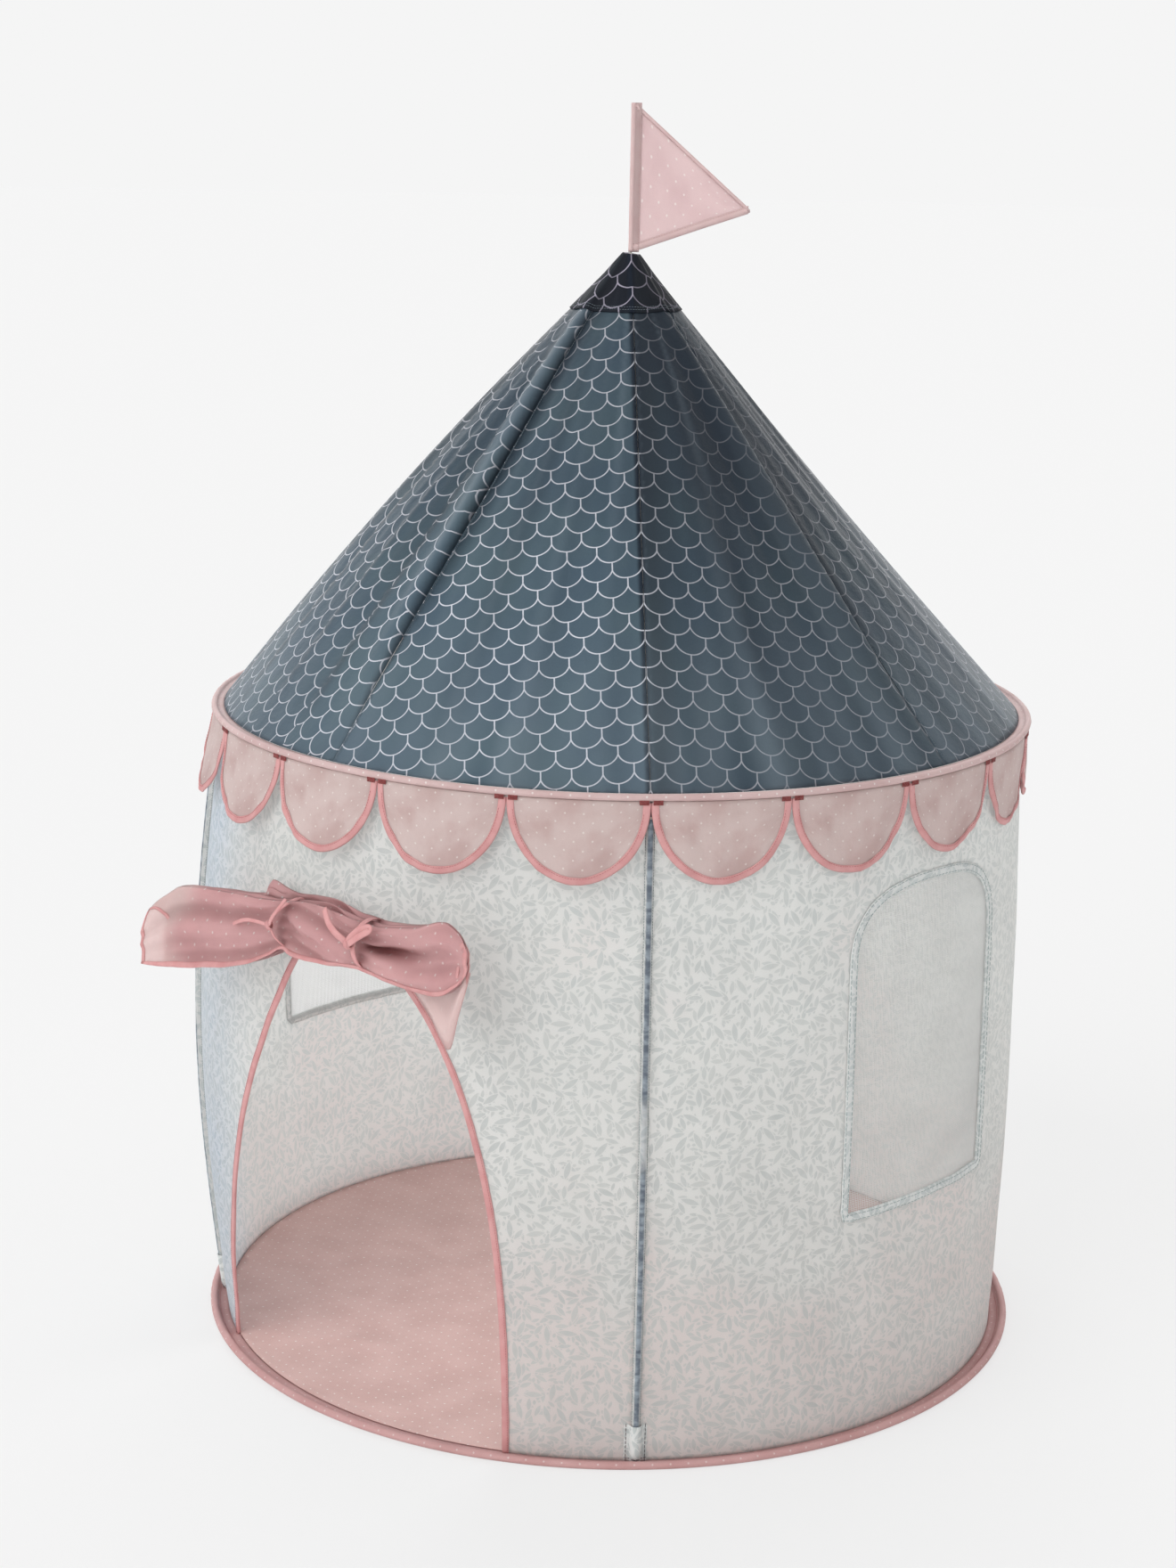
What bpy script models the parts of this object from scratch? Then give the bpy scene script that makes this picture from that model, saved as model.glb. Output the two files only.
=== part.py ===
# A round castle play tent: two spring hoops in cloth channels, four wall poles and four roof
# poles, a cloth wall with a door and two net windows, a pointed roof of eight gores, a
# scalloped valance, a door flap tied up in a bundle, and a pennant on the peak.
# Metres, +Z up. The origin is the middle of the underside, and the door faces -Y.
# An azimuth is in degrees, counted from the door towards +X.

import math

import bmesh
import bpy
from mathutils import Matrix, Vector

# Overall sizes
FLOOR_RADIUS = 0.500  # outside of the floor hoop channel
EAVE_RADIUS = 0.490  # outside of the eave hoop channel
EAVE_HEIGHT = 0.756  # underside of the eave hoop channel
PEAK_HEIGHT = 1.288  # upper edge of the roof gores
PEAK_RADIUS = 0.0095  # of the open upper end of the gores

# Cloth and clearances
GAP = 0.0003  # between pieces that touch
CLOTH = 0.0010  # walls, roof and groundsheet
HEM = 0.0008  # channels, bindings and pockets
VALANCE_CLOTH = 0.0012
BINDING_GAP = 0.0006  # between a binding and the cloth that it edges

# Hoops and their channels
FLOOR_WIRE = 0.0020  # radius
EAVE_WIRE = 0.0017
FLOOR_TUBE = 0.0045  # radius of the channel round the hoop
EAVE_TUBE = 0.0038
FLOOR_CHANNEL_WIDTH = 0.026  # from the outside to the inner edge of the seam flange
EAVE_CHANNEL_WIDTH = 0.016
FLANGE = 0.0016  # thickness of the seam flange
WALL_SEAM_INSET = 0.0035  # from a flange's inner edge to the middle of the wall cloth
ROOF_SEAM_INSET = 0.0010
FERRULE_LENGTH = 0.040
FERRULE_WALL = 0.0006
HOOP_JOIN = 184.5  # azimuth of the ferrules, halfway along a run of the rings
HOOP_END_GAP = 0.002

# Poles
POLE_RADIUS = 0.0028
POLE_BORE = 0.0015
SPIGOT_RADIUS = 0.0012
SPIGOT_LENGTH = 0.015
SLEEVE_WALL = 0.0005
ROOF_POLE_DEPTH = 0.0060  # from the middle of the roof cloth to the pole's axis
ELBOW_ARM = 0.006  # from the elbow's bend down to its lower shoulder
ELBOW_REACH = 0.022  # from the bend to its upper shoulder
FOOT_CAP_LENGTH = 0.016
FOOT_CAP_WALL = 0.0005
FOOT_CAP_FLOOR = 0.0012
POLE_AZIMUTHS = {"front_left": -45.0, "front_right": 45.0, "back_right": 135.0, "back_left": 225.0}
WALL_BOWS = {"front_left": 0.030, "front_right": 0.012, "back_right": 0.008, "back_left": 0.012}
ROOF_BOWS = {"front_left": 0.016, "front_right": 0.001, "back_right": -0.008, "back_left": 0.005}
WALL_SLACK = 0.35  # share of the bow that is missing halfway between two poles
ROOF_SAG = 0.005  # how far the roof cloth falls in between two poles
WALL_RIPPLE = 0.0018
ROOF_PLEAT = 0.0030  # height of the soft fold beside a seam

# Pole pockets at the floor
POCKET_WIDTH = 0.025
POCKET_HEIGHT = 0.045
POCKET_SEAM = 0.005  # width of the flat seam on each side

# Doorway: half its width in degrees, and how each edge bends (powers of a superellipse)
DOOR_TOP = 0.585
DOOR_HALF = {"left": 28.0, "right": 27.3}
DOOR_SHAPE = {"left": (1.4, 1.2), "right": (2.7, 2.0)}
DOOR_BINDING = 0.007

# Windows
WINDOW_AZIMUTHS = {"right": 88.2, "left": -92.5}
WINDOW_SILL = 0.270
WINDOW_TOP = 0.638
WINDOW_HALF = 0.119  # half the width
WINDOW_CORNER = 0.085  # height of the rounded shoulders
WINDOW_BINDING = 0.010
NET_THREAD = 0.0012
NET_PITCH = 0.0525  # height of one gap
NET_STEPS = 4.5  # width of one gap, in degrees

# Valance
SCALLOPS = 20
SCALLOP_DEPTH = 0.087
SCALLOP_GAP = 0.002  # between two scallops at their tops
VALANCE_BAND = 0.006  # width of the band under the channel
VALANCE_INSET = 0.0030  # from the outside of the eave channel to the middle of the cloth
VALANCE_CLEARANCE = 0.0020  # the least gap from the wall cloth to a scallop

# Peak
CAP_HEM = 0.885  # how far up the roof the peak cap's hem lies
CAP_HOLE = 0.0042  # radius
CAP_RISE = 0.0018  # of the cap's flat top over the gores
HUB_RADIUS = 0.0120
HUB_DEPTH = 0.034
HUB_NECK_RADIUS = 0.0080
HUB_NECK = 0.008  # height of the neck that the cap sits on
HUB_ARM_RADIUS = 0.0034
HUB_ARM_REACH = 0.032
FLAG_ROD_RADIUS = 0.0015
FLAG_ROD_SEAT = 0.024  # depth of the rod's socket in the hub
FLAG_TOP = 1.4627
FLAG_FLY = 0.137  # from the rod to the point
FLAG_FLY_HEIGHT = 1.3427
FLAG_FOOT_GAP = 0.0025  # from the cap to the flag's sleeve
FLAG_AZIMUTH = 131.0
FLAG_CLOTH = 0.0014
FLAG_SLEEVE_WALL = 0.0010
FLAG_WAVE = 0.006  # height of the flag's ripples at the point
FLAG_WAVES_OUT = 1.6  # half waves along the flag
FLAG_WAVES_UP = 2.2  # half waves for each metre of height

# Door flap, tied in a bundle: each station is x, bottom, top, half thickness and the
# distance of its middle in front of the wall.
FLAP_STATIONS = (
    (-0.250, 0.489, 0.540, 0.0035, 0.046),
    (-0.228, 0.490, 0.578, 0.0050, 0.044),
    (-0.185, 0.497, 0.594, 0.0085, 0.040),
    (-0.120, 0.514, 0.605, 0.0150, 0.034),
    (-0.060, 0.545, 0.612, 0.0200, 0.030),
    (-0.022, 0.560, 0.612, 0.0215, 0.028),
    (0.035, 0.556, 0.620, 0.0250, 0.0285),
    (0.092, 0.560, 0.612, 0.0210, 0.028),
    (0.140, 0.547, 0.620, 0.0195, 0.029),
    (0.190, 0.520, 0.632, 0.0130, 0.033),
    (0.222, 0.500, 0.637, 0.0080, 0.037),
    (0.250, 0.560, 0.628, 0.0045, 0.039),
    (0.262, 0.596, 0.616, 0.0025, 0.040),
)
TIES = {"left": -0.022, "right": 0.092}
TIE_WIDTH = 0.008
TIE_THICKNESS = 0.0008
KNOT_RADIUS = 0.0085
TAIL_LENGTH = 0.045
TAIL_RADIUS = 0.0022
FLAP_HINGE_HEIGHT = 0.612
FLAP_NECK_INSET = 0.006  # from the middle of each tie to the neck's edge
FLAP_NECK_DROP = 0.016  # from the hinge down to where the neck joins the bundle
FLAP_PLEATS = 2.5
FLAP_PLEAT_DEPTH = 0.007

# Steps of the curved shapes
RING_STEP = 9.0  # degrees, also of the wall's facets
GORES = 8
PIPE_SIDES = 8
WIRE_SIDES = 6
FLAP_SIDES = 18

# What follows from the sizes above
FLOOR_SEAM_RADIUS = FLOOR_RADIUS - FLOOR_CHANNEL_WIDTH
EAVE_SEAM_RADIUS = EAVE_RADIUS - EAVE_CHANNEL_WIDTH
EAVE_TUBE_HEIGHT = EAVE_HEIGHT + EAVE_TUBE
WALL_FOOT = FLANGE + GAP
WALL_HEAD = EAVE_TUBE_HEIGHT - FLANGE / 2 - GAP
BEND_HEIGHT = EAVE_HEIGHT - 0.014  # about where the poles bend inwards
RELIEF_HEIGHT = BEND_HEIGHT + 0.0015
RELIEF = POLE_RADIUS + 0.0017  # half the slit that the elbow passes through
SLEEVE_BORE = POLE_RADIUS + GAP
SLEEVE_RADIUS = SLEEVE_BORE + SLEEVE_WALL
POLE_OFFSET = CLOTH / 2 + GAP + SLEEVE_RADIUS
ROOF_FOOT = EAVE_TUBE_HEIGHT + FLANGE / 2 + GAP + CLOTH / 2
ROOF_FOOT_RADIUS = EAVE_SEAM_RADIUS + ROOF_SEAM_INSET
CAP_LIFT = CLOTH + GAP
WALL_COURSES = [
    WALL_FOOT,
    0.5 * (WALL_FOOT + WINDOW_SILL),
    WINDOW_SILL,
    0.5 * (WINDOW_SILL + DOOR_TOP),
    WINDOW_TOP - WINDOW_CORNER,
    0.5 * (WINDOW_TOP - WINDOW_CORNER + BEND_HEIGHT),
    BEND_HEIGHT,
    RELIEF_HEIGHT,
    WALL_HEAD,
]
ROOF_COURSES = [0.0, 0.2, 0.42, 0.66, CAP_HEM, 1.0]

COLOURS = {
    "steel": ((0.50, 0.51, 0.53), 0.35, 1.0),
    "pole": ((0.10, 0.11, 0.13), 0.40, 0.0),
    "plastic": ((0.05, 0.05, 0.06), 0.50, 0.0),
    "wall": ((0.72, 0.75, 0.74), 0.75, 0.0),
    "roof": ((0.075, 0.115, 0.145), 0.60, 0.0),
    "pink": ((0.70, 0.50, 0.49), 0.70, 0.0),
    "rose": ((0.62, 0.30, 0.30), 0.70, 0.0),
    "floor": ((0.64, 0.42, 0.40), 0.75, 0.0),
    "net": ((0.85, 0.86, 0.86), 0.80, 0.0),
}


def clear_scene():
    for old in list(bpy.data.objects):
        bpy.data.objects.remove(old)


def material(name):
    found = bpy.data.materials.get(name)
    if found:
        return found
    colour, roughness, metallic = COLOURS[name]
    made = bpy.data.materials.new(name)
    made.use_nodes = True
    shader = made.node_tree.nodes["Principled BSDF"]
    shader.inputs["Base Color"].default_value = (*colour, 1.0)
    shader.inputs["Roughness"].default_value = roughness
    shader.inputs["Metallic"].default_value = metallic
    return made


def add_object(name, mesh, colour, smooth=40.0):
    mesh.materials.append(material(colour))
    mesh.shade_smooth()
    mesh.set_sharp_from_angle(angle=math.radians(smooth))
    made = bpy.data.objects.new(name, mesh)
    bpy.context.scene.collection.objects.link(made)
    return made


def finished(bm, name):
    """The bmesh as a mesh whose faces point outwards."""
    bmesh.ops.recalc_face_normals(bm, faces=bm.faces)
    mesh = bpy.data.meshes.new(name)
    bm.to_mesh(mesh)
    bm.free()
    return mesh


def set_origin(made, spot):
    """Moves an object's origin, leaving its shape where it is."""
    made.data.transform(Matrix.Translation(-spot))
    made.location = spot


def lerp(a, b, share):
    return a + (b - a) * share


def place(azimuth, radius, height):
    angle = math.radians(azimuth)
    return Vector((radius * math.sin(angle), -radius * math.cos(angle), height))


def outward(azimuth):
    return place(azimuth, 1.0, 0.0)


def sideways(azimuth):
    """The level direction along the wall, towards rising azimuths."""
    return place(azimuth + 90.0, 1.0, 0.0)


def steps(start, stop, step):
    """Evenly spaced numbers from start to stop, about a step apart."""
    count = max(1, round((stop - start) / step))
    return [lerp(start, stop, i / count) for i in range(count + 1)]


def between_poles(values, azimuth, loss):
    """A value that each pole has, eased from pole to pole, less a loss halfway between them."""
    names = list(POLE_AZIMUTHS)
    turn = (azimuth - POLE_AZIMUTHS[names[0]]) / 90.0
    first = math.floor(turn)
    share = turn - first
    ease = (1 - math.cos(math.pi * share)) / 2
    here = values[names[first % 4]]
    there = values[names[(first + 1) % 4]]
    return lerp(here, there, ease) - loss * math.sin(math.pi * share) ** 2


# The wall is a faceted surface: every piece beside it reads the same facets.


def wall_radius(azimuth, height):
    """Middle of the wall cloth at a corner of its facets."""
    rise = (height - WALL_FOOT) / (WALL_HEAD - WALL_FOOT)
    foot = FLOOR_SEAM_RADIUS + WALL_SEAM_INSET
    head = EAVE_SEAM_RADIUS + WALL_SEAM_INSET
    if height >= BEND_HEIGHT:
        return lerp(foot, head, rise)
    swell = math.sin(math.pi * height / BEND_HEIGHT)
    bow = between_poles(WALL_BOWS, azimuth, 0.0)
    bow -= WALL_SLACK * bow * math.sin(math.radians(2 * (azimuth - 45))) ** 2
    ripple = WALL_RIPPLE * math.sin(math.radians(6 * (azimuth - 45)))
    return lerp(foot, head, rise) + (bow + ripple) * swell


def bracket(values, x):
    """The index below x in a rising list, and how far x is on its way to the next value."""
    low = 0
    while low < len(values) - 2 and x > values[low + 1]:
        low += 1
    return low, (x - values[low]) / (values[low + 1] - values[low])


def wall_point(azimuth, height, out=0.0):
    """A point on the wall's facets, or that far outside them."""
    row, rise = bracket(WALL_COURSES, height)
    first = RING_STEP * math.floor((azimuth - 45) / RING_STEP + 1e-6) + 45
    into = math.radians(azimuth - first)
    left = math.radians(RING_STEP) - into
    share = math.sin(into) / (math.sin(into) + math.sin(left))
    corners = []
    for level in (WALL_COURSES[row], WALL_COURSES[row + 1]):
        for side in (first, first + RING_STEP):
            corners.append(place(side, wall_radius(side, level), level))
    low, low_far, high, high_far = corners
    if share > rise:
        spot = low + (low_far - low) * share + (high_far - low_far) * rise
    else:
        spot = low + (high - low) * rise + (high_far - high) * share
    return spot + outward(azimuth) * out


def roof_slope():
    """Radius lost for each metre of height, and the cloth's outward direction as (r, z)."""
    fall = (ROOF_FOOT_RADIUS - PEAK_RADIUS) / (PEAK_HEIGHT - ROOF_FOOT)
    long = math.hypot(1.0, fall)
    return fall, (1.0 / long, fall / long)


def roof_point(azimuth, share, out=0.0, pleat=0.0):
    """A point on the roof cloth, from 0 at the eave to 1 at the peak."""
    _, (normal_r, normal_z) = roof_slope()
    row, part = bracket(ROOF_COURSES, share)
    swell = lerp(
        math.sin(math.pi * ROOF_COURSES[row]), math.sin(math.pi * ROOF_COURSES[row + 1]), part
    )
    bow = between_poles(ROOF_BOWS, azimuth, ROOF_SAG) * swell + pleat * swell
    radius = lerp(ROOF_FOOT_RADIUS, PEAK_RADIUS, share) + bow + out * normal_r
    return place(azimuth, radius, lerp(ROOF_FOOT, PEAK_HEIGHT, share) + out * normal_z)


def roof_pole_point(azimuth, share):
    return roof_point(azimuth, share, out=-ROOF_POLE_DEPTH)


def pole_bend(azimuth):
    """Where the axis of a wall pole meets the axis of its roof pole."""
    below = wall_point(azimuth, WALL_COURSES[5], POLE_OFFSET)
    above = wall_point(azimuth, BEND_HEIGHT, POLE_OFFSET)
    low, high = roof_pole_point(azimuth, 0.0), roof_pole_point(azimuth, ROOF_COURSES[1])
    out = outward(azimuth)
    wall_r, wall_lean = above.dot(out), (above - below).dot(out) / (above.z - below.z)
    roof_r, roof_lean = low.dot(out), (high - low).dot(out) / (high.z - low.z)
    height = (roof_r - wall_r + wall_lean * above.z - roof_lean * low.z) / (wall_lean - roof_lean)
    return place(azimuth, wall_r + wall_lean * (height - above.z), height)


# Tubes


def rings(bm, path, radius, side, closed, sides):
    """A ring of points at each point of a flat path; side is square to the path's plane."""
    made = []
    for i, point in enumerate(path):
        before = path[i - 1] if i > 0 or closed else None
        after = path[(i + 1) % len(path)] if i < len(path) - 1 or closed else None
        runs = []
        if before is not None:
            runs.append((point - before).normalized())
        if after is not None:
            runs.append((after - point).normalized())
        along = sum(runs, Vector()).normalized()
        stretch = 1.0 / along.dot(runs[0])
        up = side.cross(along) * stretch
        here = radius[i] if isinstance(radius, (list, tuple)) else radius
        ring = []
        for k in range(sides):
            angle = 2 * math.pi * k / sides
            offset = side * math.cos(angle) + up * math.sin(angle)
            ring.append(bm.verts.new(point + offset * here))
        made.append(ring)
    return made


def join_rings(bm, first, second):
    count = len(first)
    for k in range(count):
        after = (k + 1) % count
        bm.faces.new((first[k], first[after], second[after], second[k]))


def tube_mesh(name, path, radius, side, bore=None, bore_path=None, closed=False, sides=PIPE_SIDES):
    """A rod, a tube with a bore, or, where bore_path starts further on, a cup."""
    bm = bmesh.new()
    outer = rings(bm, path, radius, side, closed, sides)
    for first, second in zip(outer, outer[1:] + outer[:1] if closed else outer[1:]):
        join_rings(bm, first, second)
    if bore:
        inner = rings(bm, bore_path or path, bore, side, closed, sides)
        for first, second in zip(inner, inner[1:]):
            join_rings(bm, first, second)
        join_rings(bm, outer[-1], inner[-1])
        if bore_path:
            bm.faces.new(outer[0])
            bm.faces.new(inner[0])
        else:
            join_rings(bm, outer[0], inner[0])
    elif not closed:
        bm.faces.new(outer[0])
        bm.faces.new(outer[-1])
    return finished(bm, name)


def ring_from_section(name, section, colour):
    """A closed ring whose section is a loop of (radius, height)."""
    bm = bmesh.new()
    made = []
    for azimuth in steps(0.0, 360.0, RING_STEP)[:-1]:
        made.append([bm.verts.new(place(azimuth, r, z)) for r, z in section])
    for first, second in zip(made, made[1:] + made[:1]):
        join_rings(bm, first, second)
    return add_object(name, finished(bm, name), colour)


def arc(centre, radius, degrees):
    r, z = centre
    return [
        (r + radius * math.cos(math.radians(a)), z + radius * math.sin(math.radians(a)))
        for a in degrees
    ]


# Hoops


def hoop_radius(outside, tube):
    return outside - tube


def make_hoop(name, radius, height, wire):
    """A spring wire ring whose two ends meet in a ferrule."""
    first = HOOP_JOIN + RING_STEP / 2
    middle = [place(a, radius, height) for a in steps(first, first + 360 - RING_STEP, RING_STEP)]
    chord = middle[0] - middle[-1]
    half_gap = HOOP_END_GAP / 2 / chord.length
    ends = [
        middle[-1] + chord * (0.5 - half_gap),
        middle[-1] + chord * (0.5 + half_gap),
    ]
    path = [ends[1]] + middle + [ends[0]]
    mesh = tube_mesh(name, path, wire, Vector((0, 0, 1)), sides=WIRE_SIDES)
    hoop = add_object(name, mesh, "steel")
    half = chord.normalized() * FERRULE_LENGTH / 2
    centre = (middle[0] + middle[-1]) / 2
    bore = wire + GAP
    mesh = tube_mesh(
        name + "_ferrule",
        [centre - half, centre + half],
        bore + FERRULE_WALL,
        Vector((0, 0, 1)),
        bore=bore,
        sides=WIRE_SIDES,
    )
    add_object(name + "_ferrule", mesh, "steel")
    return hoop


def make_floor_channel():
    centre = (hoop_radius(FLOOR_RADIUS, FLOOR_TUBE), FLOOR_TUBE)
    inner = FLOOR_TUBE - HEM
    meet = math.sqrt(inner**2 - (FLOOR_TUBE - FLANGE) ** 2)
    section = [(FLOOR_SEAM_RADIUS, 0.0)]
    section += arc(centre, FLOOR_TUBE, (-90, -30, 30, 90, 150, 185))
    section += arc(centre, inner, (185, 150, 90, 30, -30, -90))
    section += [(centre[0] - meet, FLANGE), (FLOOR_SEAM_RADIUS, FLANGE)]
    ring_from_section("floor_hoop_channel", section, "pink")


def make_eave_channel():
    centre = (hoop_radius(EAVE_RADIUS, EAVE_TUBE), EAVE_TUBE_HEIGHT)
    inner = EAVE_TUBE - HEM
    half = FLANGE / 2
    section = [(EAVE_SEAM_RADIUS, centre[1] + half)]
    section += [(centre[0] - math.sqrt(EAVE_TUBE**2 - half**2), centre[1] + half)]
    section += arc(centre, EAVE_TUBE, (150, 90, 30, -30, -90, -150))
    section += arc(centre, inner, (-150, -90, -30, 30, 90, 150))
    section += [(centre[0] - math.sqrt(inner**2 - half**2), centre[1] - half)]
    section += [(EAVE_SEAM_RADIUS, centre[1] - half)]
    ring_from_section("eave_hoop_channel", section, "pink")


# Poles, elbows and pockets


def wall_pole_path(azimuth, low, high):
    """Points on a wall pole's axis, with every facet corner in between."""
    levels = [low] + [z for z in WALL_COURSES if low + 1e-4 < z < high - 1e-4] + [high]
    return [wall_point(azimuth, z, POLE_OFFSET) for z in levels]


def foot_heights(azimuth):
    """Heights of the axis at the foot cap's underside and at the floor of its bore."""
    low, high = WALL_COURSES[:2]
    lean = (wall_radius(azimuth, high) - wall_radius(azimuth, low)) / (high - low)
    tilt = (POLE_RADIUS + GAP + FOOT_CAP_WALL) * abs(lean)
    cap = WALL_FOOT + HEM + GAP + tilt
    return cap, cap + FOOT_CAP_FLOOR


def make_pole(which):
    azimuth = POLE_AZIMUTHS[which]
    side = sideways(azimuth)
    bend = pole_bend(azimuth)
    shoulder = bend.z - ELBOW_ARM
    cap_bottom, cap_floor = foot_heights(azimuth)
    pole_bottom = cap_floor + GAP
    path = wall_pole_path(azimuth, pole_bottom, shoulder - GAP)
    mesh = tube_mesh(f"wall_pole_{which}", path, POLE_RADIUS, side, bore=POLE_BORE)
    add_object(f"wall_pole_{which}", mesh, "pole")

    cap_top = cap_bottom + FOOT_CAP_LENGTH
    mesh = tube_mesh(
        f"pole_foot_cap_{which}",
        wall_pole_path(azimuth, cap_bottom, cap_top),
        POLE_RADIUS + GAP + FOOT_CAP_WALL,
        side,
        bore=POLE_RADIUS + GAP,
        bore_path=wall_pole_path(azimuth, cap_floor, cap_top),
    )
    add_object(f"pole_foot_cap_{which}", mesh, "plastic")

    low = WALL_FOOT + POCKET_HEIGHT + GAP
    path = wall_pole_path(azimuth, low, shoulder - 0.001)
    mesh = tube_mesh(f"pole_sleeve_{which}", path, SLEEVE_RADIUS, side, bore=SLEEVE_BORE)
    add_object(f"pole_sleeve_{which}", mesh, "wall")

    make_elbow(which, azimuth, side, bend)
    make_roof_pole(which, azimuth, side, bend)
    make_pocket(which, azimuth)


def elbow_ends(azimuth, bend):
    """The unit directions in which an elbow's two arms leave its bend."""
    down = wall_point(azimuth, WALL_COURSES[5], POLE_OFFSET) - bend
    up = roof_pole_point(azimuth, ROOF_COURSES[1]) - bend
    return down.normalized(), up.normalized()


def make_elbow(which, azimuth, side, bend):
    down, up = elbow_ends(azimuth, bend)
    step = 0.0002
    path = [
        bend + down * (ELBOW_ARM + SPIGOT_LENGTH),
        bend + down * (ELBOW_ARM + step),
        bend + down * ELBOW_ARM,
        bend,
        bend + up * ELBOW_REACH,
        bend + up * (ELBOW_REACH + step),
        bend + up * (ELBOW_REACH + SPIGOT_LENGTH),
    ]
    thick = [SPIGOT_RADIUS] * 2 + [POLE_RADIUS] * 3 + [SPIGOT_RADIUS] * 2
    mesh = tube_mesh(f"eave_elbow_{which}", path, thick, side)
    add_object(f"eave_elbow_{which}", mesh, "steel")


def hub_arm(azimuth):
    """An arm of the hub on its roof pole's axis: root, shoulder and outward direction."""
    low, high = roof_pole_point(azimuth, CAP_HEM), roof_pole_point(azimuth, 1.0)
    along = (low - high).normalized()
    out = outward(azimuth)
    lean = along.dot(out)
    shoulder = high + along * ((HUB_ARM_REACH - high.dot(out)) / lean)
    root = high + along * ((HUB_RADIUS - HUB_ARM_RADIUS - high.dot(out)) / lean)
    return root, shoulder, along


def make_roof_pole(which, azimuth, side, bend):
    _, up = elbow_ends(azimuth, bend)
    _, shoulder, along = hub_arm(azimuth)
    path = [bend + up * (ELBOW_REACH + GAP)]
    path += [roof_pole_point(azimuth, t) for t in ROOF_COURSES[1:-1]]
    path += [shoulder + along * GAP]
    mesh = tube_mesh(f"roof_pole_{which}", path, POLE_RADIUS, side, bore=POLE_BORE)
    add_object(f"roof_pole_{which}", mesh, "pole")


def make_pocket(which, azimuth):
    """A cloth pocket sewn over a pole's foot, open at the top and along the wall."""
    side, out = sideways(azimuth), outward(azimuth)
    inner_r = POLE_RADIUS + GAP + FOOT_CAP_WALL + GAP
    outer_r = inner_r + HEM
    base = CLOTH / 2 + GAP
    bump = POLE_OFFSET + outer_r - base
    hollow = POLE_OFFSET + inner_r - base
    half = POCKET_WIDTH / 2
    outer = [(half, 0), (half, HEM), (half - POCKET_SEAM, HEM)]
    outer += [(outer_r, bump * 0.62), (outer_r * 0.55, bump), (-outer_r * 0.55, bump)]
    outer += [(-outer_r, bump * 0.62), (POCKET_SEAM - half, HEM), (-half, HEM), (-half, 0)]
    inner = [(-inner_r, 0), (-inner_r, hollow * 0.66), (-inner_r * 0.50, hollow)]
    inner += [(inner_r * 0.50, hollow), (inner_r, hollow * 0.66), (inner_r, 0)]
    bm = bmesh.new()
    levels = (WALL_FOOT, WALL_FOOT + HEM, WALL_FOOT + POCKET_HEIGHT)
    made = []
    for level in levels:
        foot = wall_point(azimuth, level, base)
        made.append([bm.verts.new(foot + side * s + out * n) for s, n in outer + inner])
    join_rings(bm, made[1], made[2])
    bm.faces.new(made[2])
    # The closed bottom has the outer shape alone and is one hem thick.
    count = len(outer)
    under, floor, hollow_floor = made[0][:count], made[1][:count], made[1][count:]
    for k in range(count - 1):
        bm.faces.new((under[k], under[k + 1], floor[k + 1], floor[k]))
    bm.faces.new((under[-1], under[0], floor[0], hollow_floor[-1], hollow_floor[0], floor[-1]))
    bm.faces.new(under)
    bm.faces.new(hollow_floor)
    for spare in made[0][count:]:
        bm.verts.remove(spare)
    add_object(f"pole_pocket_{which}", finished(bm, f"pole_pocket_{which}"), "wall")


# Cloth panels


def sheet_object(name, rows, thickness, colour, missing=(), closed=False):
    """A cloth panel from rows of points, given its thickness evenly on both sides."""
    bm = bmesh.new()
    grid = [[bm.verts.new(p) for p in row] for row in rows]
    across = len(grid[0]) if closed else len(grid[0]) - 1
    for j in range(len(grid) - 1):
        for i in range(across):
            if (i, j) in missing:
                continue
            after = (i + 1) % len(grid[0])
            bm.faces.new((grid[j][i], grid[j][after], grid[j + 1][after]))
            bm.faces.new((grid[j][i], grid[j + 1][after], grid[j + 1][i]))
    bmesh.ops.remove_doubles(bm, verts=bm.verts, dist=1e-6)
    loose = [v for v in bm.verts if not v.link_faces]
    bmesh.ops.delete(bm, geom=loose, context="VERTS")
    mesh = bpy.data.meshes.new(name)
    bm.to_mesh(mesh)
    bm.free()
    made = add_object(name, mesh, colour)
    thicken = made.modifiers.new("Thickness", "SOLIDIFY")
    thicken.thickness = thickness
    thicken.offset = 0.0
    return made


def cut(target, outline):
    """Cuts an outline of (azimuth, height) through a wall panel, square to the wall."""
    bm = bmesh.new()
    through = 4 * CLOTH
    near = [bm.verts.new(wall_point(a, z, -through)) for a, z in outline]
    edge = [bm.verts.new(wall_point(a, z, through)) for a, z in outline]
    far = [bm.verts.new(place(a, 1.3 * FLOOR_RADIUS, z)) for a, z in outline]
    join_rings(bm, near, edge)
    join_rings(bm, edge, far)
    bm.faces.new(near)
    bm.faces.new(far)
    cutter = bpy.data.objects.new(target.name + "_cutter", finished(bm, target.name + "_cutter"))
    bpy.context.scene.collection.objects.link(cutter)
    cutter.hide_render = True
    cutter.display_type = "WIRE"
    opening = target.modifiers.new("Opening", "BOOLEAN")
    opening.operation = "DIFFERENCE"
    opening.solver = "EXACT"
    opening.object = cutter


def make_wall_panel(name, start):
    """A quarter of the wall, from one pole seam to the next, with slits for the elbows."""
    rows = []
    for level in WALL_COURSES:
        ease = RELIEF if level >= RELIEF_HEIGHT else GAP / 2
        inset = math.degrees(ease / wall_radius(start, level))
        row = []
        for azimuth in steps(start, start + 90.0, RING_STEP):
            radius = wall_radius(azimuth, level)
            held = min(max(azimuth, start + inset), start + 90.0 - inset)
            row.append(place(held, radius, level))
        rows.append(row)
    return sheet_object(name, rows, CLOTH, "wall")


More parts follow.
